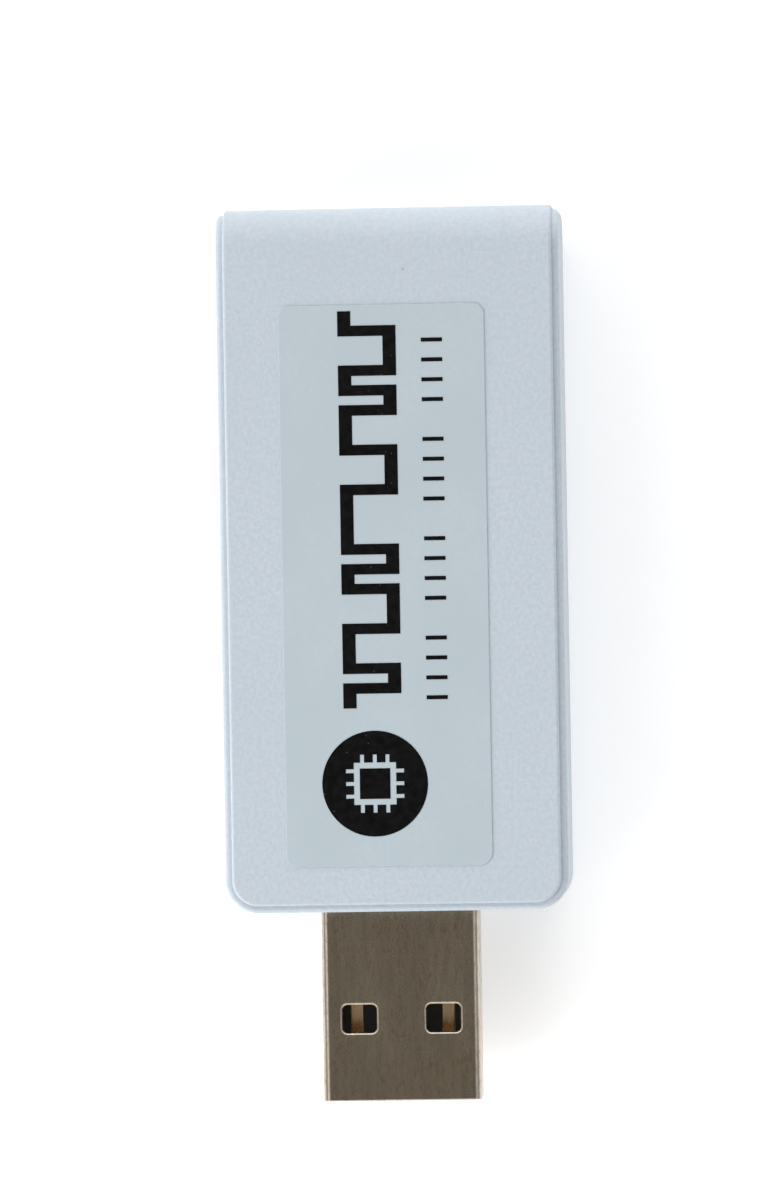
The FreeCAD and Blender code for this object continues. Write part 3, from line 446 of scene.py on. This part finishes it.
def quarter(radius: float, steps: int) -> tuple[np.ndarray, np.ndarray]:
    """A quarter circle as (radius * sin t, radius * (1 - cos t)) for t from 0 to a right angle."""
    t = np.linspace(0.0, QUARTER_TURN, steps + 1)
    return radius * np.sin(t), radius * (1.0 - np.cos(t))


def rounded_outline(half_x: float, half_y: float, radius: float, steps: int = 10) -> np.ndarray:
    """A closed rectangle with round corners, anticlockwise.

    Each corner is its centre plus radius * (cos t, sin t) over a quarter turn. Each side gets points
    close to its ends, which keeps the flat faces' shading flat.

    Args:
        half_x: half the width.
        half_y: half the height.
        radius: corner radius.
        steps: segments in a corner.

    Returns:
        An (n, 2) array.
    """
    t = np.linspace(0.0, QUARTER_TURN, steps + 1)
    share = np.array(SIDE_SHARES)[:, None]
    corners = []
    for turn, (sx, sy) in enumerate(((1, 1), (-1, 1), (-1, -1), (1, -1))):
        centre = np.array([sx * (half_x - radius), sy * (half_y - radius)])
        angle = t + turn * QUARTER_TURN
        corners.append(centre + radius * np.stack([np.cos(angle), np.sin(angle)], -1))
    loop = []
    for n, corner in enumerate(corners):
        start, end = corner[-1], corners[(n + 1) % 4][0]
        loop += [corner, start + (end - start) * share]
    return np.concatenate(loop)


def to_object(name: str, points: np.ndarray, faces: Iterable[Sequence[int]]) -> bpy.types.Object:
    """An object in millimetres from points and faces, with doubles merged and normals outwards."""
    mesh = bpy.data.meshes.new(name)
    mesh.from_pydata(points.reshape(-1, 3).tolist(), [], [list(map(int, face)) for face in faces])
    made = bpy.data.objects.new(name, mesh)
    bpy.context.scene.collection.objects.link(made)
    work = bmesh.new()
    work.from_mesh(mesh)
    bmesh.ops.remove_doubles(work, verts=work.verts, dist=WELD)
    bmesh.ops.dissolve_degenerate(work, edges=work.edges, dist=WELD)
    open_edges = [edge for edge in work.edges if edge.is_boundary]
    if open_edges:
        bmesh.ops.holes_fill(work, edges=open_edges, sides=0)
    bmesh.ops.recalc_face_normals(work, faces=work.faces)
    work.to_mesh(mesh)
    work.free()
    return made


def swept(name: str, rings: np.ndarray) -> bpy.types.Object:
    """A closed solid from a stack of closed rings, (rings, points, 3), with flat caps at its ends."""
    return to_object(name, rings, grid_faces(rings.shape[0], rings.shape[1], closed=True))


def prism(outline: np.ndarray, low: float, high: float, axis: Axis) -> bpy.types.Object:
    """A solid over a plan outline: its points stand in the plane square to the axis.

    Args:
        outline: an (n, 2) closed outline, as (x, y) for the axis Z and (x, z) for the axis Y.
        low: start along the axis.
        high: end along the axis.
        axis: the axis that it stands along.

    Returns:
        The solid.
    """
    rings = np.empty((2, len(outline), 3))
    along, up = axis.value
    rings[:, :, 0] = outline[:, 0]
    rings[:, :, up] = outline[:, 1]
    rings[:, :, along] = np.array([low, high])[:, None]
    return swept("cutter", rings)


def carve(target: bpy.types.Object, tool: bpy.types.Object, how: Cut) -> None:
    """Joins the tool to the target or takes it away, and removes the tool."""
    change = target.modifiers.new("carve", "BOOLEAN")
    change.operation = how.value
    change.solver = "EXACT"
    change.object = tool
    ready = target.evaluated_get(bpy.context.evaluated_depsgraph_get())
    mesh = bpy.data.meshes.new_from_object(ready)
    target.modifiers.clear()
    target.data = mesh
    bpy.data.objects.remove(tool)


def settle(made: bpy.types.Object, finish: Finish, nodes: Sequence[str], crease: float) -> None:
    """Turns a piece from millimetres to metres, smooths it, dresses it and hangs it on the body.

    Args:
        made: the piece.
        finish: its finish.
        nodes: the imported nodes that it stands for.
        crease: edges sharper than this many degrees stay sharp.
    """
    made.data.transform(Matrix.Scale(1.0 / METRE, 4))
    made.data.shade_smooth()
    made.data.set_sharp_from_angle(angle=math.radians(crease))
    made.data.materials.clear()
    made.data.materials.append(finish.material())
    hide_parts(*nodes)
    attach(made, ROOT_BODY)
    LOG.info("%s: %d faces in place of %s", made.name, len(made.data.polygons), ", ".join(nodes))


# --- case ------------------------------------------------------------------------------------------


@dataclass
class CaseShell:
    """One half of the case: a core with a ledge, a panel that rolls over the far end, and its room."""

    side: Side
    seam: float
    half_width: float = 13.0
    front: float = -19.4
    back: float = 33.9
    height: float = 12.0
    corner: float = 2.5
    ledge_width: float = 0.55
    ledge_drop: float = 0.35
    ledge_round: float = 0.35
    panel_round: float = 0.22
    end_radius: float = 3.2
    side_wall: float = 1.5
    face_wall: float = 1.4
    room_corner: float = 1.0
    lip: float = 0.65
    lip_height: float = 0.8
    lip_room: float = 0.1
    plug_half: tuple[float, float] = (6.12, 2.37)
    plug_corner: float = 0.76
    socket_half: tuple[float, float] = (7.74, 1.39)
    socket_middle: float = 5.02
    seam_level: float = 6.0
    straight_stops: tuple[float, ...] = (0.0, 0.01, 0.2, 0.4, 0.6, 0.8, 0.99, 1.0)
    wall_stops: tuple[float, ...] = (0.0, 0.02, 0.3, 0.65, 0.98, 1.0)
    panel_stops: tuple[float, ...] = (-1.0, -0.985, -0.6, -0.3, 0.0, 0.3, 0.6, 0.985, 1.0)
    roll_points: int = 25
    corner_points: int = 15
    step: float = 0.03
    margin: float = 0.4
    plug_way: float = 2.25
    socket_way: float = 2.55

    def strip_stations(self) -> np.ndarray:
        """Distances along the top path: straight run, roll over the far end, far wall to the seam."""
        start = self.front + self.corner
        roll = self.back - self.end_radius
        straight = np.array(self.straight_stops) * (roll - start) + start
        arc = roll + self.end_radius * np.linspace(0.0, QUARTER_TURN, self.roll_points)[1:]
        wall = self.height - self.end_radius - self.seam
        return np.concatenate([straight, arc, arc[-1] + wall * np.array(self.wall_stops[1:])])

    def on_strip(self, x: np.ndarray, along: np.ndarray, rise: Number) -> np.ndarray:
        """Bends a flat strip over the far end.

        A point at distance s along the strip and rise n lies at (y, z) = (s, H + n) on the straight
        run, at (R + n)(sin t, cos t) round the roll's axis with t = (s - start) / R on the roll, and
        straight below the roll's end on the far wall.

        Args:
            x: place across.
            along: distance along the strip.
            rise: height above the panel, negative for the ledge.

        Returns:
            An (n, 3) array of points.
        """
        roll = self.back - self.end_radius
        axis_z = self.height - self.end_radius
        t = np.clip((along - roll) / self.end_radius, 0.0, QUARTER_TURN)
        reach = self.end_radius + rise
        beyond = np.maximum(along - roll - self.end_radius * QUARTER_TURN, 0.0)
        y = np.where(along < roll, along, roll + reach * np.sin(t))
        z = axis_z + reach * np.cos(t) - beyond
        return np.stack(np.broadcast_arrays(x, y, z), -1)

    def ring(self, inset: float, rise: float) -> np.ndarray:
        """A U-shaped ring on the strip: down one side, round the front corners, back up the other.

        The corners are quarter circles of radius (corner - inset) about fixed centres.
        """
        stations = self.strip_stations()
        centre_x = self.half_width - self.corner
        centre_y = self.front + self.corner
        radius = self.corner - inset
        t = np.linspace(0.0, QUARTER_TURN, self.corner_points)[1:-1]
        front_x = self.front_columns()
        side = np.full(len(stations), self.half_width - inset)
        x = [-side, -centre_x - radius * np.cos(t), front_x, centre_x + radius * np.sin(t), side]
        front = np.full(len(front_x), centre_y - radius)
        y = [stations[::-1], centre_y - radius * np.sin(t), front, centre_y - radius * np.cos(t), stations]
        return self.on_strip(np.concatenate(x), np.concatenate(y), rise)

    def front_columns(self) -> np.ndarray:
        """Places across the front edge and the panel, close together at the ends."""
        half = self.half_width - self.corner
        return np.array(self.panel_stops) * half

    def profile(self) -> list[tuple[float, float]]:
        """(inset, rise) from the flat panel over its rounded edge, down the step and over the ledge."""
        edge = self.ledge_width + self.panel_round
        across, down = quarter(self.panel_round, 7)
        stops = [(self.corner, 0.0), (edge + self.margin, 0.0), (edge + self.step, 0.0)]
        stops += list(zip(edge - across, -down))
        stops += [(self.ledge_width, self.step - self.ledge_drop), (self.ledge_width, -self.ledge_drop)]
        stops.append((self.ledge_width - self.step, -self.ledge_drop))
        across, down = quarter(self.ledge_round, 8)
        stops.append((self.ledge_round + self.step, -self.ledge_drop))
        stops += list(zip(self.ledge_round - across, -self.ledge_drop - down))
        return stops

    def outer_form(self) -> bpy.types.Object:
        """The closed outer form of the shell above its seam, before it is hollowed out."""
        rings = np.stack([self.ring(inset, rise) for inset, rise in self.profile()])
        faces = [grid_faces(rings.shape[0], rings.shape[1])]
        points = [rings.reshape(-1, 3)]
        walls = len(self.wall_stops) - 1
        top = rings[-1][walls:-walls]
        stops = np.array(self.wall_stops)[:, None]
        wall = np.repeat(top[None], len(self.wall_stops), 0)
        wall[:, :, 2] = top[:, 2] + (self.seam - top[:, 2]) * stops
        faces.append(grid_faces(wall.shape[0], wall.shape[1], start=len(points[0])))
        points.append(wall.reshape(-1, 3))
        columns, stations = np.meshgrid(self.front_columns(), self.strip_stations(), indexing="ij")
        panel = self.on_strip(columns, stations, 0.0)
        faces.append(grid_faces(*panel.shape[:2], start=sum(map(len, points))))
        points.append(panel.reshape(-1, 3))
        return to_object(self.side.value + "_skin", np.concatenate(points), np.concatenate(faces))

    def room_outline(self, grow: float) -> np.ndarray:
        """The plan of the room inside the case, grown by a distance."""
        front = self.front + self.side_wall
        back = self.back - self.ledge_drop - self.side_wall
        half = self.half_width - self.side_wall + grow
        outline = rounded_outline(half, (back - front) / 2 + grow, self.room_corner + grow)
        return outline + np.array([0.0, (front + back) / 2])

    def build(self) -> bpy.types.Object:
        """Makes the shell: outer form, room, lip or its groove, and the two end openings."""
        shell = self.outer_form()
        room = self.room_outline(0.0)
        lip_top = self.seam_level + self.lip_height
        if self.side is Side.LID:
            low = self.seam - OVERSHOOT
            groove = self.room_outline(self.lip + self.lip_room)
            carve(shell, prism(room, low, self.height - self.face_wall, Axis.Z), Cut.REMOVE)
            carve(shell, prism(groove, low, lip_top + self.lip_room, Axis.Z), Cut.REMOVE)
        else:
            turned_over = Matrix.Scale(-1.0, 4, (0.0, 0.0, 1.0))
            shell.data.transform(Matrix.Translation((0.0, 0.0, self.height)) @ turned_over)
            shell.data.flip_normals()
            lip = self.room_outline(self.lip)
            carve(shell, prism(lip, self.seam_level - OVERSHOOT, lip_top, Axis.Z), Cut.ADD)
            carve(shell, prism(room, self.face_wall, lip_top + OVERSHOOT, Axis.Z), Cut.REMOVE)
        self.open_ends(shell)
        return shell

    def open_ends(self, shell: bpy.types.Object) -> None:
        """Cuts the ways out for the plug and the target socket."""
        plug = rounded_outline(*self.plug_half, self.plug_corner) + np.array([0.0, self.seam_level])
        carve(shell, prism(plug, self.front - OVERSHOOT, self.front + self.plug_way, Axis.Y), Cut.REMOVE)
        socket = rounded_outline(*self.socket_half, self.lip_room * 2) + np.array([0.0, self.socket_middle])
        carve(shell, prism(socket, self.back - self.socket_way, self.back + OVERSHOOT, Axis.Y), Cut.REMOVE)

    def dress(self, shell: bpy.types.Object) -> None:
        """Gives the shell its finish and its place in the frame."""
        settle(shell, ABS, [self.side.value], crease=32.0)


# --- label -----------------------------------------------------------------------------------------


@dataclass
class Label:
    """The film label on the panel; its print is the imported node."""

    middle: tuple[float, float] = (-0.5, 5.26)
    half: tuple[float, float] = (7.8, 21.2)
    corner: float = 0.9
    base: float = 12.0
    film: float = 0.08
    edge: float = 0.05
    flat_insets: tuple[float, ...] = (0.08, 0.6)

    def build(self) -> bpy.types.Object:
        """Rings of the label's outline: up the cut edge, over its soft corner and onto the flat."""
        across, down = quarter(self.edge, 4)
        stops = [(0.0, 0.0)]
        stops += list(zip((self.edge - across)[::-1], (self.film - down)[::-1]))
        stops += [(inset, self.film) for inset in self.flat_insets]
        rings = []
        for inset, rise in stops:
            outline = rounded_outline(self.half[0] - inset, self.half[1] - inset, self.corner - inset)
            level = np.full((len(outline), 1), self.base + rise)
            rings.append(np.hstack([outline + np.array(self.middle), level]))
        return swept("label_skin", np.stack(rings))

    def dress(self, film: bpy.types.Object) -> None:
        """Gives the film its finish and its place."""
        settle(film, FILM, ["front_label"], crease=60.0)


# --- plug ------------------------------------------------------------------------------------------


@dataclass
class PlugShield:
    """The folded steel tube: rounded outline, soft front edge, rolled latch windows, keyed seam."""

    tip: float = -33.9
    length: float = 19.05
    half: tuple[float, float] = (6.0, 2.25)
    level: float = 6.0
    bend: float = 0.55
    sheet: float = 0.3
    edge: float = 0.1
    window_half: tuple[float, float] = (1.275, 1.05)
    window_corner: float = 0.35
    window_across: float = 3.2
    window_setback: float = 5.2
    roll: float = 0.2
    slit: float = 0.08
    key: float = 1.3
    key_shares: tuple[float, ...] = (0.3, 0.45, 0.7, 0.85)
    step: float = 0.05
    margin: float = 0.5
    touch: float = 0.001

    def ring(self, inset: float, along: float) -> np.ndarray:
        """The tube's rounded outline, moved in by an inset, at a place along Y."""
        outline = rounded_outline(self.half[0] - inset, self.half[1] - inset, self.bend - inset, 12)
        ring = np.empty((len(outline), 3))
        ring[:, 0] = outline[:, 0]
        ring[:, 1] = along
        ring[:, 2] = outline[:, 1] + self.level
        return ring

    def tube(self) -> bpy.types.Object:
        """Rings along the outside to the tip, round the sheet's edge, and back along the inside."""
        across, down = quarter(self.edge, 5)
        back = self.tip + self.length
        front = self.tip + self.edge
        stops = [(0.0, back), (0.0, front + self.margin), (0.0, front + self.step)]
        stops += list(zip(down, front - across))
        stops += list(zip(self.sheet - down[::-1], (front - across)[::-1]))
        stops += [(self.sheet, front + self.step), (self.sheet, back)]
        rings = np.stack([self.ring(inset, along) for inset, along in stops + stops[:1]])
        return to_object("plug_skin", rings, grid_faces(rings.shape[0], rings.shape[1], closed=True))

    def window_tool(self, side: int, upward: int) -> bpy.types.Object:
        """A latch window's cutter: its outline flares by a quarter circle as it meets the face."""
        across, down = quarter(self.roll, 7)
        face = self.half[1]
        stops = [(self.roll, face + self.margin), (self.roll, face + self.touch)]
        stops += list(zip(self.roll - across, face - down))[1:]
        stops.append((0.0, face - self.sheet * 3))
        middle = np.array([side * self.window_across, self.tip + self.window_setback + self.window_half[1]])
        rings = []
        for grow, rise in stops:
            half_x, half_y = (half + grow for half in self.window_half)
            outline = rounded_outline(half_x, half_y, self.window_corner + grow, 8) + middle
            rings.append(np.hstack([outline, np.full((len(outline), 1), self.level + upward * rise)]))
        return swept("window", np.stack(rings))

    def seam_tool(self) -> bpy.types.Object:
        """The closing seam in the underside: a slit that jogs round two keys."""
        keys = [share * self.length for share in self.key_shares]
        stops = [-self.edge, *keys, self.length + self.edge]
        edges = []
        for hand in (-1.0, 1.0):
            slit = self.slit / 2 * hand
            edge = []
            for n, (start, end) in enumerate(zip(stops, stops[1:])):
                shift, jog = (self.key, -slit) if n % 2 else (0.0, slit)
                edge += [(shift + slit, self.tip + start + jog), (shift + slit, self.tip + end - jog)]
            edges.append(edge)
        outline = np.array(edges[0] + edges[1][::-1])
        low = self.level - self.half[1]
        return prism(outline, low - self.sheet, low + self.sheet * 1.5, Axis.Z)

    def build(self) -> bpy.types.Object:
        """The tube with its windows and seam cut."""
        tube = self.tube()
        for upward in (1, -1):
            for side in (-1, 1):
                carve(tube, self.window_tool(side, upward), Cut.REMOVE)
        carve(tube, self.seam_tool(), Cut.REMOVE)
        return tube

    def dress(self, tube: bpy.types.Object) -> None:
        """Gives the shield its finish and its place."""
        settle(tube, STEEL, ["plug_shield"], crease=40.0)


# --- plug contacts ---------------------------------------------------------------------------------


@dataclass
class ContactBlade:
    """One plug contact: a spring strip with soft edges that lies in the tongue and steps to the board."""

    node: str
    across: float
    setback: float
    tip: float = -33.9
    reach: float = 19.55
    top: float = 5.98
    board: float = 3.75
    sheet: float = 0.25
    width: float = 1.0
    foot: float = 1.5
    bend: float = 0.32
    edge: float = 0.09
    nose: float = 0.12
    step: float = 0.05

    def path(self) -> tuple[np.ndarray, np.ndarray]:
        """Places along the middle of the sheet, as (y, z), and the sheet's slope at each.

        The slope t is 0 on the level runs and a right angle on the drop. A bend of radius r about a
        centre c has its places at c + r (sin t, cos t), and the second bend is the first one turned.
        """
        start = self.tip + self.setback
        drop = self.tip + self.reach - self.sheet / 2
        high, low = self.top - self.sheet / 2, self.board + self.sheet / 2
        t = np.linspace(0.0, QUARTER_TURN, 7)
        noses = start + np.array([0.0, 0.3, 1.0]) * self.nose
        level = np.stack([np.append(noses, drop - self.bend - self.step), np.full(4, high)], -1)
        bow = np.stack([np.sin(t), np.cos(t)], -1) * self.bend
        first = bow + np.array([drop - self.bend, high - self.bend])
        second = -bow[::-1] + np.array([drop + self.bend, low + self.bend])
        ends = np.array([[drop + self.bend + self.step, low], [drop + self.foot, low]])
        slopes = np.concatenate([np.zeros(4), t, t[::-1], np.zeros(2)])
        return np.concatenate([level, first, second, ends]), slopes

    def build(self) -> bpy.types.Object:
        """Sweeps the sheet's section along the path; the first rings taper to a soft nose."""
        places, slopes = self.path()
        rings = []
        for n, ((y, z), slope) in enumerate(zip(places, slopes)):
            pinch = max(0.0, 0.5 - n / 4) * self.sheet / 2
            half = self.sheet / 2 - pinch
            section = rounded_outline(self.width / 2 - pinch, half, min(self.edge, half * 0.8), 5)
            rise = section[:, 1]
            x = section[:, 0] + self.across
            rings.append(np.stack([x, y + rise * math.sin(slope), z + rise * math.cos(slope)], -1))
        return swept(self.node + "_skin", np.stack(rings))

    def dress(self, blade: bpy.types.Object) -> None:
        """Gives the strip its finish and its place."""
        settle(blade, GOLD, [self.node], crease=50.0)


CONTACT_BLADES = (
    ContactBlade("contact_power", across=3.5, setback=1.3),
    ContactBlade("contact_data_minus", across=1.0, setback=2.3),
    ContactBlade("contact_data_plus", across=-1.0, setback=2.3),
    ContactBlade("contact_ground", across=-3.5, setback=1.3),
)


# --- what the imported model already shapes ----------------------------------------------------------


@dataclass
class PackedNodes:
    """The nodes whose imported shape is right: each gets the finish of its record slot."""

    finishes: dict[str, Finish] = field(
        default_factory=lambda: {
            "case_white": ABS,
            "label_film": FILM,
            "label_ink": INK,
            "shield_steel": STEEL,
            "contact_gold": GOLD,
            "plug_black": NYLON,
            "board_green": MASK,
            "chip_black": EPOXY,
            "lead_tin": TIN,
            "can_steel": CAN,
            "cap_ceramic": CERAMIC,
            "resistor_black": RESISTOR,
            "fuse_green": FUSE,
            "ferrite_grey": FERRITE,
            "tantalum_yellow": TANTALUM,
            "lamp_green": GREEN_RESIN,
            "lamp_amber": AMBER_RESIN,
        }
    )

    def dress(self) -> None:
        """Assigns each node's finish to its object's own material slots."""
        for part in frame["record"]["subparts"]:
            finish = self.finishes[part["material_slot"]]
            node = frame["nodes"][part["node"]]
            for slot in node.material_slots:
                slot.material = finish.material()
            LOG.info("%s: %s", part["node"], finish.name)


# --- studio ----------------------------------------------------------------------------------------


@dataclass
class Studio:
    """Pale floor, a soft dome that is bright low down and dim overhead, one soft lamp, camera."""

    aim: tuple[float, float, float] = (-0.62, 4.15, 11.0)
    distance: float = 600.0
    lean: float = 3.0
    roll: float = 0.95
    lens: float = 238.0
    clip_start: float = 0.01
    floor_size: float = 1600.0
    floor_gap: float = 0.02
    floor_glow: float = 0.32
    lamp_place: tuple[float, float, float] = (-370.0, -230.0, 170.0)
    lamp_size: float = 260.0
    lamp_power: float = 1.5
    dome_power: float = 0.68
    right_horizon: Colour = (0.45, 0.48, 0.55)
    round_about: Colour = (1.10, 1.10, 1.10)
    left_band: Colour = (1.75, 1.75, 1.75)
    left_horizon: Colour = (0.55, 0.55, 0.55)
    far_side: Colour = (3.4, 3.4, 3.4)
    plug_side: Colour = (1.8, 1.8, 1.8)
    overhead: Colour = (0.195, 0.168, 0.130)

    def floor(self) -> bpy.types.Object:
        """A wide pale floor that the stick lies on."""
        half, low = self.floor_size / 2 / METRE, -self.floor_gap / METRE
        corners = [(-half, -half, low), (half, -half, low), (half, half, low), (-half, half, low)]
        mesh = bpy.data.meshes.new("floor")
        mesh.from_pydata(corners, [], [(0, 1, 2, 3)])
        made = bpy.data.objects.new("floor", mesh)
        bpy.context.scene.collection.objects.link(made)
        material = bpy.data.materials.new("pale_floor")
        tree = Tree(material)
        tone = tree.blend(tree.noise((0.02, 0.02, 0.02), 3.0), (0.90, 0.90, 0.90), (0.93, 0.93, 0.93))
        inputs = {"Base Color": tone, "Roughness": 0.9, "Emission Color": tone}
        inputs["Emission Strength"] = self.floor_glow
        shader = tree.add("ShaderNodeBsdfPrincipled", {}, inputs)
        tree.add("ShaderNodeOutputMaterial", {}, {"Surface": shader.outputs[0]})
        mesh.materials.append(material)
        return made

    def dome(self) -> None:
        """World light: dim overhead, brightest beyond the far end, with a bright band on the left."""
        world = bpy.data.worlds.new("dome")
        bpy.context.scene.world = world
        tree = Tree(world)
        direction = tree.add("ShaderNodeTexCoord", {}, {}).outputs["Generated"]
        parts = tree.add("ShaderNodeSeparateXYZ", {}, {"Vector": direction})
        height = tree.signal(parts, "Z")
        sideways, along = tree.signal(parts, "X"), tree.signal(parts, "Y")
        left, toward_plug = sideways * -1.0, along * -1.0
        right = tree.blend(sideways.above(0.80, 0.35), self.round_about, self.right_horizon)
        raised = tree.blend(left.above(0.42, 0.30), right, self.left_band)
        level = tree.blend(left.above(0.80, 0.22), raised, self.left_horizon)
        lit = tree.blend(along.above(0.66, 0.5), level, self.far_side)
        fronted = tree.blend(toward_plug.above(0.60, 0.5), lit, self.plug_side)
        colour = tree.blend(height.above(0.89, 0.15), fronted, self.overhead)
        shader = tree.add("ShaderNodeBackground", {}, {"Color": colour, "Strength": self.dome_power})
        tree.add("ShaderNodeOutputWorld", {}, {"Surface": shader.outputs[0]})

    def lamp(self) -> None:
        """A square area lamp aimed at the stick; glossy surfaces don't show it."""
        data = bpy.data.lights.new("side_lamp", "AREA")
        data.size = self.lamp_size / METRE
        data.energy = self.lamp_power
        lamp = bpy.data.objects.new("side_lamp", data)
        bpy.context.scene.collection.objects.link(lamp)
        lamp.location = Vector(self.lamp_place) / METRE
        toward = Vector(self.aim) / METRE - lamp.location
        lamp.rotation_euler = toward.to_track_quat("-Z", "Y").to_euler()
        lamp.visible_glossy = False

    def camera(self) -> None:
        """Looks down on the label, leaning a little towards the stick's right side."""
        data = bpy.data.cameras.new("camera")
        data.lens = self.lens
        data.clip_start = self.clip_start
        made = bpy.data.objects.new("camera", data)
        bpy.context.scene.collection.objects.link(made)
        lean = math.radians(self.lean)
        aim = Vector(self.aim) / METRE
        place = aim + Vector((math.sin(lean), 0.0, math.cos(lean))) * (self.distance / METRE)
        turn = Matrix.Rotation(lean, 4, "Y") @ Matrix.Rotation(math.radians(-self.roll), 4, "Z")
        made.matrix_world = Matrix.Translation(place) @ turn
        bpy.context.scene.camera = made

    def build(self) -> None:
        """Sets up everything that isn't the object."""
        bpy.context.scene.view_settings.view_transform = "Standard"
        self.camera()
        self.floor()
        self.dome()
        self.lamp()


def main() -> None:
    """Builds the object's classes in order, then the studio."""
    logging.basicConfig(level=logging.INFO, format="%(message)s")
    PackedNodes().dress()
    shells = CaseShell(Side.LID, seam=6.14), CaseShell(Side.BASE, seam=6.0)
    for piece in (*shells, Label(), PlugShield(), *CONTACT_BLADES):
        piece.dress(piece.build())
    Studio().build()


if __name__ == "__main__":
    main()
